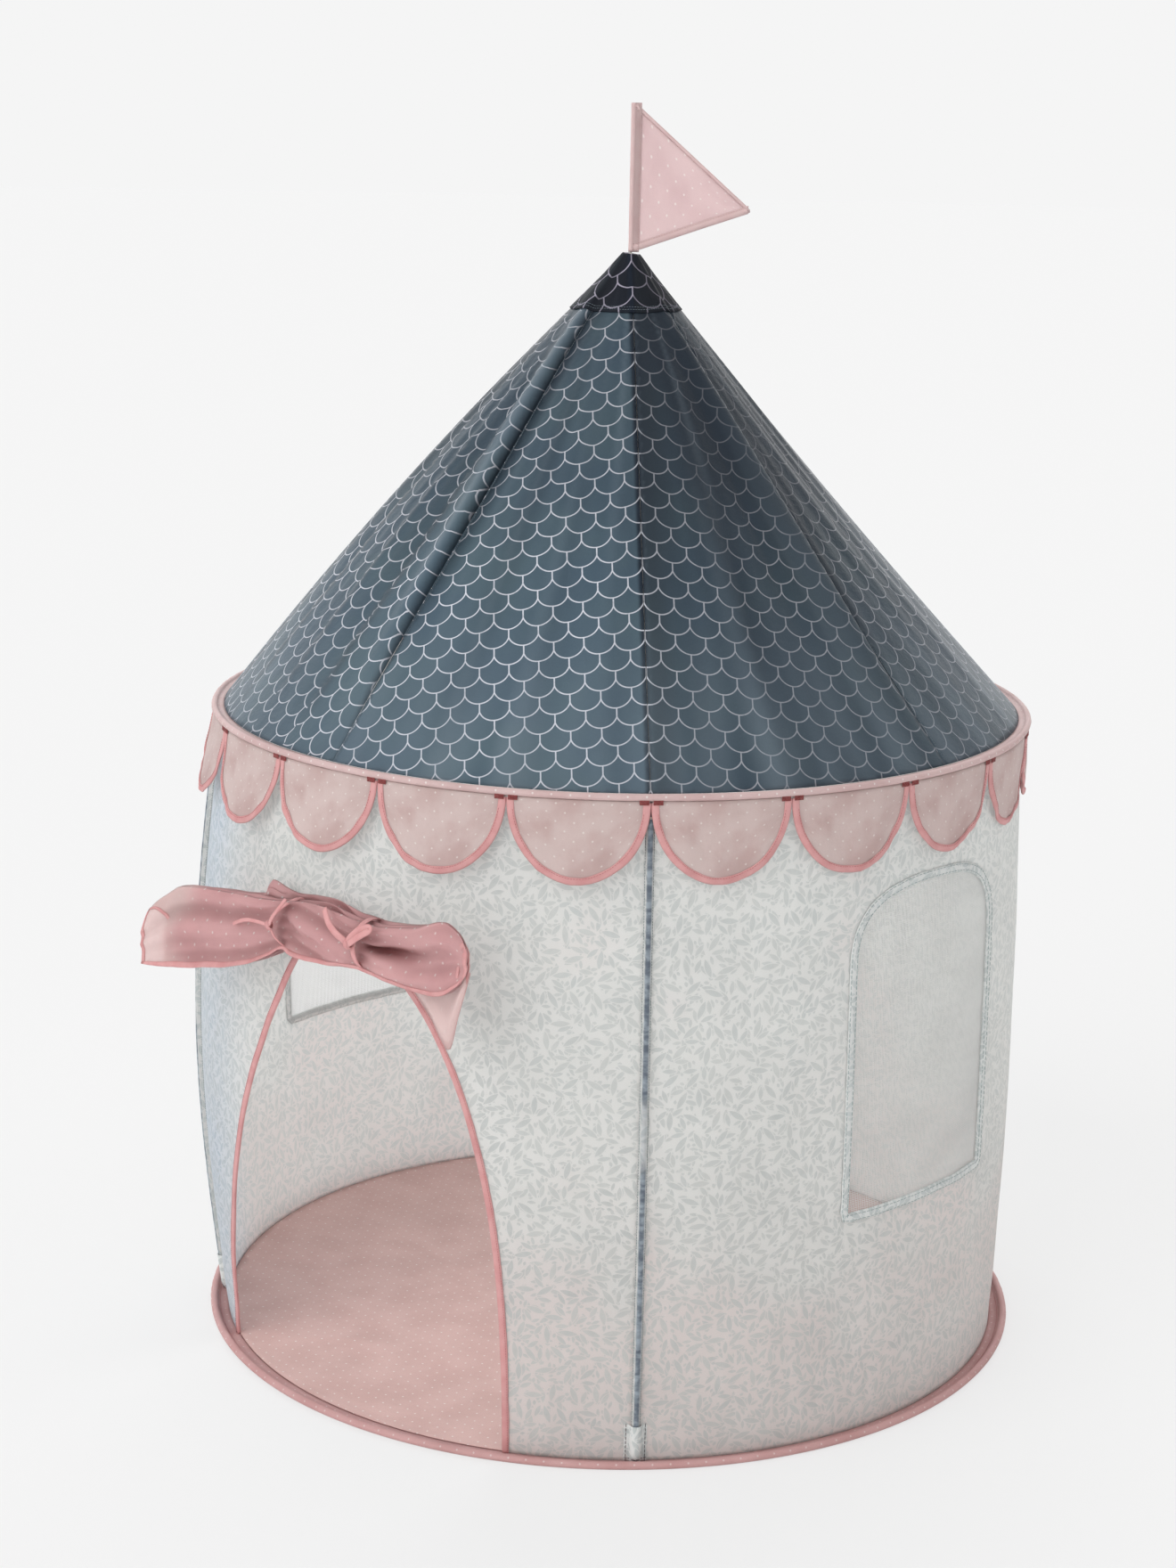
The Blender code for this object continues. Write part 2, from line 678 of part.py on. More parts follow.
def door_edge(which, height):
    """Azimuth of the doorway's edge at a height."""
    rise_power, width_power = DOOR_SHAPE[which]
    rise = min(1.0, max(0.0, height) / DOOR_TOP)
    half = DOOR_HALF[which] * (1 - rise**rise_power) ** (1 / width_power)
    return -half if which == "left" else half


def door_outline():
    """The doorway from its left foot over its top to its right foot, as (azimuth, height)."""
    count = 7
    levels = [lerp(WALL_FOOT, DOOR_TOP, math.sin(math.pi / 2 * i / count)) for i in range(count)]
    left = [(door_edge("left", z), z) for z in levels]
    right = [(door_edge("right", z), z) for z in reversed(levels)]
    return on_creases(left + [(0.0, DOOR_TOP)] + right, False)


def window_outline(middle):
    """A window from its lower left corner round to its lower right, as (azimuth, height)."""
    shoulder = WINDOW_TOP - WINDOW_CORNER
    half = math.degrees(math.asin(WINDOW_HALF / wall_radius(middle, shoulder)))
    count = 8
    head = []
    for i in range(count + 1):
        angle = math.pi * i / count
        across = -math.copysign(abs(math.cos(angle)) ** 0.75, math.cos(angle))
        head.append((middle + half * across, shoulder + WINDOW_CORNER * math.sin(angle) ** 0.75))
    lift = (shoulder - WINDOW_SILL) / 2
    left = [(middle - half, WINDOW_SILL), (middle - half, WINDOW_SILL + lift)]
    right = [(middle + half, WINDOW_SILL + lift), (middle + half, WINDOW_SILL)]
    sill = [(middle + half * s, WINDOW_SILL) for s in (0.5, 0.0, -0.5)]
    return on_creases(left + head + right + sill, True)


def on_creases(outline, closed):
    """The outline with a point added wherever it crosses an edge of the wall's facets."""
    made = []
    count = len(outline)
    for i in range(count if closed else count - 1):
        (a, z), (next_a, next_z) = outline[i], outline[(i + 1) % count]
        shares = {0.0}
        for edge in range(math.ceil((min(a, next_a) - 45) / RING_STEP), 1000):
            azimuth = 45 + edge * RING_STEP
            if azimuth >= max(a, next_a):
                break
            shares.add((azimuth - a) / (next_a - a))
        for level in WALL_COURSES:
            if min(z, next_z) < level < max(z, next_z):
                shares.add((level - z) / (next_z - z))
        for share in sorted(shares):
            point = (lerp(a, next_a, share), lerp(z, next_z, share))
            if not made or math.dist(made[-1], point) > 0.002:
                made.append(point)
    if not closed:
        made.append(outline[-1])
    return made


def offset_outline(outline, distance, closed):
    """The outline moved outwards by a distance, with mitred corners, still as (azimuth, height)."""
    scale = math.radians(1.0) * (EAVE_SEAM_RADIUS + WALL_SEAM_INSET)
    flat = [Vector((a * scale, z)) for a, z in outline]
    moved = []
    count = len(flat)
    for i, point in enumerate(flat):
        runs = []
        if i > 0 or closed:
            runs.append((point - flat[i - 1]).normalized())
        if i < count - 1 or closed:
            runs.append((flat[(i + 1) % count] - point).normalized())
        normals = [Vector((-run.y, run.x)) for run in runs]
        middle = sum(normals, Vector((0.0, 0.0))).normalized()
        moved.append(point + middle * distance / middle.dot(normals[0]))
    return [(p.x / scale, p.y) for p in moved]


def split_on_creases(bm):
    """Splits a flat mesh of (azimuth, 0, height) wherever the wall's facets meet."""
    azimuths = [v.co.x for v in bm.verts]
    first = math.ceil((min(azimuths) - 45) / RING_STEP)
    last = math.floor((max(azimuths) - 45) / RING_STEP)
    cuts = [((45 + k * RING_STEP, 0, 0), (1, 0, 0)) for k in range(first, last + 1)]
    cuts += [((0, 0, level), (0, 0, 1)) for level in WALL_COURSES]
    for spot, normal in cuts:
        split(bm, spot, normal)


def split(bm, spot, normal):
    everything = bm.verts[:] + bm.edges[:] + bm.faces[:]
    bmesh.ops.bisect_plane(bm, geom=everything, dist=1e-5, plane_co=spot, plane_no=normal)


def solid_on_wall(name, flat, levels, zones):
    """Thickens a flat mesh of (azimuth, 0, height) into a solid that follows the wall.

    Levels are distances from the wall, outwards, and zones says which faces, by their material
    index, are solid between each level and the next.
    """
    bm = bmesh.new()
    made = {}

    def corner(v, level):
        if (v, level) not in made:
            made[v, level] = bm.verts.new(wall_point(v.co.x, v.co.z, levels[level]))
        return made[v, level]

    solid = [()] + list(zones) + [()]
    for level in range(len(levels)):
        for face in flat.faces:
            below, above = (face.material_index in solid[k] for k in (level, level + 1))
            if below != above:
                bm.faces.new([corner(v, level) for v in face.verts])
    for level, here in enumerate(zones):
        for edge in flat.edges:
            if sum(face.material_index in here for face in edge.link_faces) == 1:
                a, b = edge.verts
                bm.faces.new(
                    (corner(a, level), corner(b, level), corner(b, level + 1), corner(a, level + 1))
                )
    flat.free()
    return finished(bm, name)


def make_binding(name, outline, width, closed, colour):
    """A folded strip that wraps the wall's cut edge, inside and outside."""
    slot = CLOTH / 2 + BINDING_GAP
    skin = slot + HEM
    flat = bmesh.new()
    lines = []
    for away in (-BINDING_GAP - HEM, -BINDING_GAP, width):
        line = offset_outline(outline, away, closed)
        lines.append([flat.verts.new((a, 0, max(z, WALL_FOOT + GAP))) for a, z in line])
    for zone, (first, second) in enumerate(zip(lines, lines[1:])):
        for i in range(len(outline) if closed else len(outline) - 1):
            j = (i + 1) % len(outline)
            flat.faces.new((first[i], first[j], second[j], second[i])).material_index = zone
    split_on_creases(flat)
    levels = (-skin, -slot, slot, skin)
    mesh = solid_on_wall(name, flat, levels, ((0, 1), (0,), (0, 1)))
    add_object(name, mesh, colour)


def make_net(name, middle):
    """A window's net: threads along the wall's facets, held behind the binding."""
    outline = offset_outline(window_outline(middle), WINDOW_BINDING * 0.7, True)
    bm = bmesh.new()
    bm.faces.new([bm.verts.new((a, 0.0, z)) for a, z in outline])
    low, high = min(a for a, _ in outline), max(a for a, _ in outline)
    first = 45 + NET_STEPS * math.ceil((low - 45) / NET_STEPS + 0.3)
    cuts = []
    while first < high - 0.3 * NET_STEPS:
        cuts.append(((first, 0, 0), (1, 0, 0)))
        first += NET_STEPS
    bottom, top = min(z for _, z in outline), max(z for _, z in outline)
    count = round((top - bottom) / NET_PITCH)
    for i in range(1, count):
        cuts.append(((0, 0, lerp(bottom, top, i / count)), (0, 0, 1)))
    for spot, normal in cuts:
        split(bm, spot, normal)
    behind = CLOTH / 2 + BINDING_GAP + HEM + BINDING_GAP + NET_THREAD / 2
    for v in bm.verts:
        v.co = wall_point(v.co.x, v.co.z, -behind)
    mesh = bpy.data.meshes.new(name)
    bm.to_mesh(mesh)
    bm.free()
    made = add_object(name, mesh, "net")
    threads = made.modifiers.new("Threads", "WIREFRAME")
    threads.thickness = NET_THREAD
    threads.use_even_offset = False
    threads.use_boundary = True


def make_wall():
    make_wall_panel("back_wall", 135.0)
    door_wall = make_wall_panel("door_wall", -45.0)
    outline = door_outline()
    below = [(outline[end][0], WALL_FOOT - 0.01) for end in (0, -1)]
    cut(door_wall, [below[0]] + outline + [below[1]])
    make_binding("door_binding", outline, DOOR_BINDING, False, "rose")
    for side, start in (("right", 45.0), ("left", -135.0)):
        middle = WINDOW_AZIMUTHS[side]
        panel = make_wall_panel(f"{side}_window_wall", start)
        outline = window_outline(middle)
        cut(panel, outline)
        make_binding(f"{side}_window_binding", outline, WINDOW_BINDING, True, "wall")
        make_net(f"{side}_window_net", middle)


def make_groundsheet():
    bm = bmesh.new()
    radius = FLOOR_SEAM_RADIUS - GAP
    rim = [bm.verts.new(place(a, radius, 0.0)) for a in steps(0.0, 360.0, RING_STEP)[:-1]]
    face = bm.faces.new(rim)
    raised = bmesh.ops.extrude_face_region(bm, geom=[face])["geom"]
    top = [v for v in raised if isinstance(v, bmesh.types.BMVert)]
    bmesh.ops.translate(bm, verts=top, vec=(0, 0, CLOTH))
    add_object("groundsheet", finished(bm, "groundsheet"), "floor")


# Roof


def pleat_height(azimuth):
    """A soft fold beside each roof seam that has no pole under it."""
    from_seam = (azimuth + 45.0) % 90.0 - 45.0
    return ROOF_PLEAT * math.exp(-((from_seam / 6.0) ** 2))


def make_gore(number):
    start = number * 360.0 / GORES
    stop = start + 360.0 / GORES
    rows = []
    for share in ROOF_COURSES:
        radius = lerp(ROOF_FOOT_RADIUS, PEAK_RADIUS, share)
        inset = math.degrees(GAP / 2 / radius)
        row = []
        for azimuth in steps(start, stop, RING_STEP):
            held = min(max(azimuth, start + inset), stop - inset)
            row.append(roof_point(held, share, pleat=pleat_height(azimuth)))
        rows.append(row)
    sheet_object(f"roof_gore_{number + 1}", rows, CLOTH, "roof")


def make_peak_cap():
    rows = [[], [], []]
    for azimuth in steps(0.0, 360.0, RING_STEP)[:-1]:
        fold = pleat_height(azimuth)
        rows[0].append(roof_point(azimuth, CAP_HEM, out=CAP_LIFT, pleat=fold))
        rim = roof_point(azimuth, 1.0, out=CAP_LIFT)
        rim.z = PEAK_HEIGHT + CAP_RISE
        rows[1].append(rim)
        rows[2].append(place(azimuth, CAP_HOLE, PEAK_HEIGHT + CAP_RISE))
    sheet_object("peak_cap", rows, CLOTH, "roof", closed=True)


def valance_flare(azimuth):
    """How far the tips stand out: the left side is blown out, the right side hangs straight."""
    return 0.008 + 0.011 * math.cos(math.radians(azimuth + 49.0))


def make_valance():
    """Scallops on a narrow band that lies flat under the eave channel."""
    radius = EAVE_RADIUS - VALANCE_INSET
    top = EAVE_HEIGHT - GAP - VALANCE_CLOTH / 2
    off_wall = (CLOTH + VALANCE_CLOTH) / 2 + VALANCE_CLEARANCE
    pitch = 360.0 / SCALLOPS
    half = pitch / 2 - math.degrees(SCALLOP_GAP / 2 / radius)
    depths = (0.0, 1.0)
    rows = [[] for _ in range(1 + len(depths))]
    missing = set()
    across = 8
    for number in range(SCALLOPS):
        middle = number * pitch
        for i in range(across + 1):
            turn = math.pi * (i / across - 0.5)
            azimuth = middle + half * math.sin(turn)
            rows[0].append(place(azimuth, radius - VALANCE_BAND, top))
            for j, share in enumerate(depths):
                deep = share * math.cos(turn)
                height = top - SCALLOP_DEPTH * deep
                hanging = radius + valance_flare(azimuth) * deep**1.3
                hanging = max(hanging, wall_radius(azimuth, height) + off_wall)
                rows[1 + j].append(place(azimuth, hanging, height))
        last = len(rows[0]) - 1
        missing.add((last, 1))
    sheet_object("valance", rows, VALANCE_CLOTH, "pink", missing=missing, closed=True)


# Peak fittings and flag


def rod(start, stop, radius, sides=PIPE_SIDES, name="rod"):
    side = Vector((1, 0, 0))
    if abs((stop - start).normalized().x) > 0.6:
        side = Vector((0, 1, 0))
    along = (stop - start).normalized()
    side = (side - along * side.dot(along)).normalized()
    return tube_mesh(name, [start, stop], radius, side, sides=sides)


def helper(name, mesh):
    """A shape that only takes part in a Boolean."""
    made = bpy.data.objects.new(name, mesh)
    bpy.context.scene.collection.objects.link(made)
    made.hide_render = True
    made.display_type = "WIRE"
    return made


def combine(target, mesh, operation, label):
    tool = target.modifiers.new(label, "BOOLEAN")
    tool.operation = operation
    tool.solver = "EXACT"
    tool.object = helper(f"{target.name}_{label}", mesh)


def hub_top():
    return PEAK_HEIGHT + CAP_RISE - CLOTH / 2 - GAP


def make_hub():
    top = hub_top()
    low, shoulder = Vector((0, 0, top - HUB_DEPTH)), Vector((0, 0, top - HUB_NECK))
    hub = add_object("apex_hub", rod(low, shoulder, HUB_RADIUS, sides=16), "plastic")
    neck = rod(shoulder - Vector((0, 0, 0.002)), Vector((0, 0, top)), HUB_NECK_RADIUS, sides=16)
    combine(hub, neck, "UNION", "neck")
    for which, azimuth in POLE_AZIMUTHS.items():
        root, shoulder, along = hub_arm(azimuth)
        step = 0.0002
        path = [root, shoulder, shoulder + along * step, shoulder + along * SPIGOT_LENGTH]
        thick = [HUB_ARM_RADIUS, HUB_ARM_RADIUS, SPIGOT_RADIUS, SPIGOT_RADIUS]
        arm = tube_mesh(f"arm_{which}", path, thick, sideways(azimuth))
        combine(hub, arm, "UNION", f"arm_{which}")
    bore = rod(
        Vector((0, 0, top - FLAG_ROD_SEAT)), Vector((0, 0, top + 0.01)), FLAG_ROD_RADIUS + GAP
    )
    combine(hub, bore, "DIFFERENCE", "socket")


def flag_point(out, height):
    """A point of the flag's cloth, at a distance from the rod."""
    share = out / FLAG_FLY
    turns = FLAG_WAVES_OUT * share + FLAG_WAVES_UP * (height - FLAG_FLY_HEIGHT)
    ripple = FLAG_WAVE * share * math.sin(math.pi * turns)
    return outward(FLAG_AZIMUTH) * out + sideways(FLAG_AZIMUTH) * ripple + Vector((0, 0, height))


def make_flag():
    top = hub_top()
    foot = PEAK_HEIGHT + CAP_RISE + CLOTH / 2 + FLAG_FOOT_GAP
    rod_mesh = rod(
        Vector((0, 0, top - FLAG_ROD_SEAT + GAP)), Vector((0, 0, FLAG_TOP - 0.004)), FLAG_ROD_RADIUS
    )
    add_object("flag_rod", rod_mesh, "pole")

    bore = FLAG_ROD_RADIUS + GAP
    sleeve = bore + FLAG_SLEEVE_WALL
    axis_foot, axis_top = Vector((0, 0, foot)), Vector((0, 0, FLAG_TOP))
    start = bore + 0.0004
    columns = 7
    rows_up = 6
    rows = []
    for j in range(rows_up + 1):
        row = []
        for i in range(columns + 1):
            share = i / columns
            low = lerp(foot + 0.0005, FLAG_FLY_HEIGHT - 0.0015, share)
            high = lerp(FLAG_TOP - 0.0005, FLAG_FLY_HEIGHT + 0.0015, share)
            row.append(flag_point(lerp(start, FLAG_FLY, share), lerp(low, high, j / rows_up)))
        rows.append(row)
    flag = sheet_object("flag", rows, FLAG_CLOTH, "pink")
    combine(flag, rod(axis_foot, axis_top, sleeve), "UNION", "sleeve")
    beyond = Vector((0, 0, 0.01))
    combine(flag, rod(axis_foot - beyond, axis_top + beyond, bore), "DIFFERENCE", "bore")


# Door flap


def wall_front():
    """How far the wall's outer face lies in front of the origin at the middle of the door."""
    return -wall_point(0.0, FLAP_HINGE_HEIGHT, CLOTH / 2).y


def in_front(distance, height):
    """The y of a point at a distance in front of the door wall, which leans if its rings differ."""
    lean = (FLOOR_SEAM_RADIUS - EAVE_SEAM_RADIUS) / (WALL_HEAD - WALL_FOOT)
    return -wall_front() - distance - lean * (FLAP_HINGE_HEIGHT - height)


def flap_hinge():
    """The seam that the flap hangs from, a hem's thickness in front of the wall."""
    return Vector((0, -wall_front() - GAP - HEM, FLAP_HINGE_HEIGHT))


def flap_values(x):
    """Bottom, top, half thickness and distance from the wall of the bundle at x."""
    xs = [station[0] for station in FLAP_STATIONS]
    for tie in TIES.values():
        if abs(x - tie) <= TIE_WIDTH / 2 + 0.0015:
            x = tie
    row, share = bracket(xs, x)
    ease = share * share * (3 - 2 * share)
    pairs = zip(FLAP_STATIONS[row][1:], FLAP_STATIONS[row + 1][1:])
    return [lerp(a, b, ease) for a, b in pairs]


def flap_section(x, grow=0.0):
    """The loop of points round the bundle at x."""
    bottom, top, half, front = flap_values(x)
    middle = (bottom + top) / 2
    tall = (top - bottom) / 2
    near_tie = min(abs(x - tie) for tie in TIES.values())
    between = TIES["left"] < x < TIES["right"]
    spread = min(1.0, near_tie / 0.12) * (0.3 if between else 1.0)
    points = []
    for k in range(FLAP_SIDES):
        angle = 2 * math.pi * (k + 0.5) / FLAP_SIDES
        across, up = math.cos(angle), math.sin(angle)
        fold = FLAP_PLEAT_DEPTH * spread * math.sin(2 * math.pi * FLAP_PLEATS * (up + 1) / 2)
        height = middle + (tall + grow) * up
        out = front + (half + grow) * across + fold * (1 - 0.4 * abs(up))
        points.append(Vector((x, in_front(out, height), height)))
    return points


def make_door_flap():
    ends = FLAP_STATIONS[0][0], FLAP_STATIONS[-1][0]
    edge = TIE_WIDTH / 2 + 0.0015
    xs = {round(x, 4) for x in steps(ends[0], ends[1], 0.026)}
    for tie in TIES.values():
        xs = {x for x in xs if abs(x - tie) > edge + 0.006}
        xs |= {tie - edge, tie + edge}
    bm = bmesh.new()
    made = [[bm.verts.new(p) for p in flap_section(x)] for x in sorted(xs)]
    for first, second in zip(made, made[1:]):
        join_rings(bm, first, second)
    bm.faces.new(made[0])
    bm.faces.new(made[-1])
    flap = add_object("door_flap", finished(bm, "door_flap"), "rose", smooth=60.0)

    # The neck of cloth between the bundle and its seam on the wall.
    seam = flap_hinge()
    neck_end = FLAP_HINGE_HEIGHT - FLAP_NECK_DROP
    inside = Vector((0, in_front(FLAP_STATIONS[6][4], neck_end), neck_end))
    down = (inside - seam).normalized()
    lift = Vector((1, 0, 0)).cross(down) * HEM / 2
    bm = bmesh.new()
    corners = []
    for x in (TIES["left"] + FLAP_NECK_INSET, TIES["right"] - FLAP_NECK_INSET):
        sideward = Vector((x, 0, 0))
        loop = (seam + lift, seam - lift, inside - lift, inside + lift)
        corners.append([bm.verts.new(p + sideward) for p in loop])
    join_rings(bm, corners[0], corners[1])
    bm.faces.new(corners[0])
    bm.faces.new(corners[1])
    combine(flap, finished(bm, "neck"), "UNION", "neck")
    set_origin(flap, seam)
    for side, x in TIES.items():
        make_tie(side, x)


def make_tie(side, x):
    """A ribbon round the bundle, with its knot and two tails in front."""
    bm = bmesh.new()
    half = Vector((TIE_WIDTH / 2, 0, 0))
    loops = []
    for grow, shift in ((GAP * 2, -half), (GAP * 2, half), (GAP * 2 + TIE_THICKNESS, half),
                        (GAP * 2 + TIE_THICKNESS, -half)):
        loops.append([bm.verts.new(p + shift) for p in flap_section(x, grow)])
    for first, second in zip(loops, loops[1:] + loops[:1]):
        join_rings(bm, first, second)
    tie = add_object(f"door_tie_{side}", finished(bm, f"door_tie_{side}"), "rose")
    loop = flap_section(x, GAP * 2 + TIE_THICKNESS)
    face = min(p.y for p in loop)
    knot = Vector((x, face - 0.0035, sum(p.z for p in loop) / len(loop)))
    bm = bmesh.new()
    bmesh.ops.create_icosphere(bm, subdivisions=1, radius=KNOT_RADIUS)
    bmesh.ops.scale(bm, verts=bm.verts, vec=(0.85, 0.60, 1.0))
    bmesh.ops.translate(bm, verts=bm.verts, vec=knot)
    for v in bm.verts:
        v.co.y = min(v.co.y, face + TIE_THICKNESS / 2)
    combine(tie, finished(bm, "knot"), "UNION", "knot")
    for number, lean in enumerate((-0.9, 0.55)):
        direction = Vector((lean, -0.12, -1.0 if number else -0.25)).normalized()
        tail = rod(knot, knot + direction * TAIL_LENGTH, TAIL_RADIUS, sides=6, name="tail")
        combine(tie, tail, "UNION", f"tail_{number}")
    set_origin(tie, flap_hinge())


def main():
    clear_scene()
    make_hoop("floor_hoop", hoop_radius(FLOOR_RADIUS, FLOOR_TUBE), FLOOR_TUBE, FLOOR_WIRE)
    make_floor_channel()
    make_hoop("eave_hoop", hoop_radius(EAVE_RADIUS, EAVE_TUBE), EAVE_TUBE_HEIGHT, EAVE_WIRE)
    make_eave_channel()
    make_groundsheet()
    make_wall()
    for which in POLE_AZIMUTHS:
        make_pole(which)
    for number in range(GORES):
        make_gore(number)
    make_peak_cap()
    make_valance()
    make_hub()
    make_flag()
    make_door_flap()


main()
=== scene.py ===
# The looks of a castle play tent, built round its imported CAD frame.
# Metres, +Z up, and the door faces -Y. An azimuth is in degrees, from the door towards +X.
import math

import bmesh
import bpy
from mathutils import Matrix, Vector, noise
from mathutils.geometry import delaunay_2d_cdt
from mathutils.kdtree import KDTree


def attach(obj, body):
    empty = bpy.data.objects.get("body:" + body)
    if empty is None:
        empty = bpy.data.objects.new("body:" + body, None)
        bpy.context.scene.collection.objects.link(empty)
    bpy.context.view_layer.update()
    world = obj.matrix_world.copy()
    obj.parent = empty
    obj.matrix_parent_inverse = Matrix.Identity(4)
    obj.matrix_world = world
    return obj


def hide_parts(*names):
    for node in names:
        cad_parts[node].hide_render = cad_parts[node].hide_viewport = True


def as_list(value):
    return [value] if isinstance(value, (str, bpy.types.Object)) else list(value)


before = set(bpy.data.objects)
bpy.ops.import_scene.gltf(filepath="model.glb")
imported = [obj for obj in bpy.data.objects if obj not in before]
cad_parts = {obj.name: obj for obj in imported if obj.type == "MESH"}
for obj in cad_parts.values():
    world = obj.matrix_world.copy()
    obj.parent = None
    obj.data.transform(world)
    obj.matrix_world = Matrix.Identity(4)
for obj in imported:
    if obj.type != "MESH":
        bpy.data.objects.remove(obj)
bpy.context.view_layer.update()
print("frame: loaded", len(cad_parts), "nodes")


# The camera stands where the photograph was taken

camera = {
    "place": (2.21272, -2.54545, 1.47046),
    "turn": 41.0,  # degrees round the tent, from the door
    "yaw": -0.01122,  # radians, as the next two
    "pitch": 0.2370,
    "roll": 0.01909,
    "lens": 65.52,
}


def makeCamera():
    yaw, pitch, roll = camera["yaw"], camera["pitch"], camera["roll"]
    ahead = Vector((math.sin(yaw) * math.cos(pitch), math.cos(yaw) * math.cos(pitch), -math.sin(pitch)))
    right = Vector((math.cos(yaw), -math.sin(yaw), 0.0))
    up = right.cross(ahead)
    leanRight = right * math.cos(roll) + up * math.sin(roll)
    leanUp = up * math.cos(roll) - right * math.sin(roll)
    turn = Matrix.Rotation(math.radians(camera["turn"]), 3, "Z")
    axes = Matrix([turn @ leanRight, turn @ leanUp, turn @ -ahead]).transposed()
    data = bpy.data.cameras.new("photoCamera")
    data.sensor_width = 36.0
    data.lens = camera["lens"]
    made = bpy.data.objects.new("photoCamera", data)
    made.matrix_world = Matrix.Translation(camera["place"]) @ axes.to_4x4()
    bpy.context.scene.collection.objects.link(made)
    bpy.context.scene.camera = made


makeCamera()
print("camera: set")


# Small helpers


def lerp(a, b, share):
    return a + (b - a) * share


def smooth(low, high, x):
    share = min(1.0, max(0.0, (x - low) / (high - low)))
    return share * share * (3 - 2 * share)


def bell(x, width):
    return math.exp(-((x / width) ** 2))


def place(azimuth, radius, height):
    angle = math.radians(azimuth)
    return Vector((radius * math.sin(angle), -radius * math.cos(angle), height))


def outward(azimuth):
    return place(azimuth, 1.0, 0.0)


def sideways(azimuth):
    return place(azimuth + 90, 1.0, 0.0)


def waves(x, y, z):
    return noise.noise(Vector((x, y, z)))


def rgb(red, green, blue):
    # a colour as it shows on a screen, 0 to 255
    parts = [c / 255 for c in (red, green, blue)]
    return (*[c / 12.92 if c < 0.04045 else ((c + 0.055) / 1.055) ** 2.4 for c in parts], 1.0)


def steps(first, last, count):
    return [lerp(first, last, i / count) for i in range(count + 1)]


def circle(radius, count):
    turns = [math.tau * i / count for i in range(count)]
    return [(radius * math.cos(turn), radius * math.sin(turn)) for turn in turns]


def lengthOf(line):
    return sum((b - a).length for a, b in zip(line, line[1:]))


def inside(loop, x, y):
    found = False
    for (ax, ay), (bx, by) in zip(loop, loop[1:] + loop[:1]):
        if (ay > y) != (by > y) and x < ax + (bx - ax) * (y - ay) / (by - ay):
            found = not found
    return found


def table(rows, x):
    # a row of values between the two rows round x, eased so that nothing kinks
    at = 0
    while at < len(rows) - 2 and x > rows[at + 1][0]:
        at += 1
    before, a, b, after = rows[max(at - 1, 0)], rows[at], rows[at + 1], rows[min(at + 2, len(rows) - 1)]
    t = min(1.0, max(0.0, (x - a[0]) / (b[0] - a[0])))
    made = []
    for p, q, r, s in zip(before[1:], a[1:], b[1:], after[1:]):
        low = (r - p) / max(1e-9, b[0] - before[0]) * (b[0] - a[0])
        high = (s - q) / max(1e-9, after[0] - a[0]) * (b[0] - a[0])
        made.append(
            q * (2 * t**3 - 3 * t**2 + 1) + low * (t**3 - 2 * t**2 + t)
            + r * (3 * t**2 - 2 * t**3) + high * (t**3 - t**2)
        )
    return made


# Nodes: put adds one, and its outputs can be added, multiplied and so on


class Value:
    def __init__(self, socket):
        self.socket = socket
        self.tree = socket.id_data

    def __add__(self, other):
        return calc("ADD", self, other)

    def __sub__(self, other):
        return calc("SUBTRACT", self, other)

    def __mul__(self, other):
        return calc("MULTIPLY", self, other)

    def __truediv__(self, other):
        return calc("DIVIDE", self, other)

    def __mod__(self, other):
        return calc("FLOORED_MODULO", self, other)

    def __abs__(self):
        return calc("ABSOLUTE", self)


class Outputs:
    def __init__(self, node):
        self.node = node

    def __getitem__(self, label):
        return Value(self.node.outputs[label])


def put(tree, kind, inputs=None, **settings):
    node = tree.nodes.new(kind)
    for name, value in settings.items():
        setattr(node, name, value)
    for label, value in (inputs or {}).items():
        if isinstance(value, Value):
            tree.links.new(value.socket, node.inputs[label])
        else:
            node.inputs[label].default_value = value
    return Outputs(node)


def calc(operation, *values):
    return put(values[0].tree, "ShaderNodeMath", dict(enumerate(values)), operation=operation)[0]


def ramp(value, low, high, toLow=0.0, toHigh=1.0, way="SMOOTHSTEP"):
    inputs = {"Value": value, "From Min": low, "From Max": high, "To Min": toLow, "To Max": toHigh}
    return put(value.tree, "ShaderNodeMapRange", inputs, interpolation_type=way)["Result"]


def tint(factor, first, second, way="MIX"):
    # the two colours may be plain ones, where the factor is a Value, or the other way round
    tree = (factor if isinstance(factor, Value) else first).tree
    return put(tree, "ShaderNodeMix", {0: factor, 6: first, 7: second}, data_type="RGBA", blend_type=way)[2]


def split(vector):
    parts = put(vector.tree, "ShaderNodeSeparateXYZ", {"Vector": vector})
    return parts["X"], parts["Y"], parts["Z"]


def join(x, y, z=0.0):
    return put(x.tree, "ShaderNodeCombineXYZ", {"X": x, "Y": y, "Z": z})["Vector"]


def cloudy(vector, scale, detail=3.0):
    inputs = {"Vector": vector, "Scale": scale, "Detail": detail, "Roughness": 0.55}
    return put(vector.tree, "ShaderNodeTexNoise", inputs)["Fac"]


def attribute(tree, name):
    return put(tree, "ShaderNodeAttribute", attribute_name=name)["Fac"]


def makeGroup(name, inputs, outputs, build, kind="ShaderNodeTree"):
    # a number makes a value input, and a word an input of that kind
    tree = bpy.data.node_groups.new(name, kind)
    for label, given in inputs.items():
        word = given if isinstance(given, str) else "Float"
        socket = tree.interface.new_socket(label, in_out="INPUT", socket_type="NodeSocket" + word)
        if word == "Float":
            socket.default_value = given
    for label, word in outputs.items():
        tree.interface.new_socket(label, in_out="OUTPUT", socket_type="NodeSocket" + word)
    start, end = put(tree, "NodeGroupInput"), tree.nodes.new("NodeGroupOutput")
    for label, value in zip(outputs, build(start)):
        tree.links.new(value.socket, end.inputs[label])
    return tree


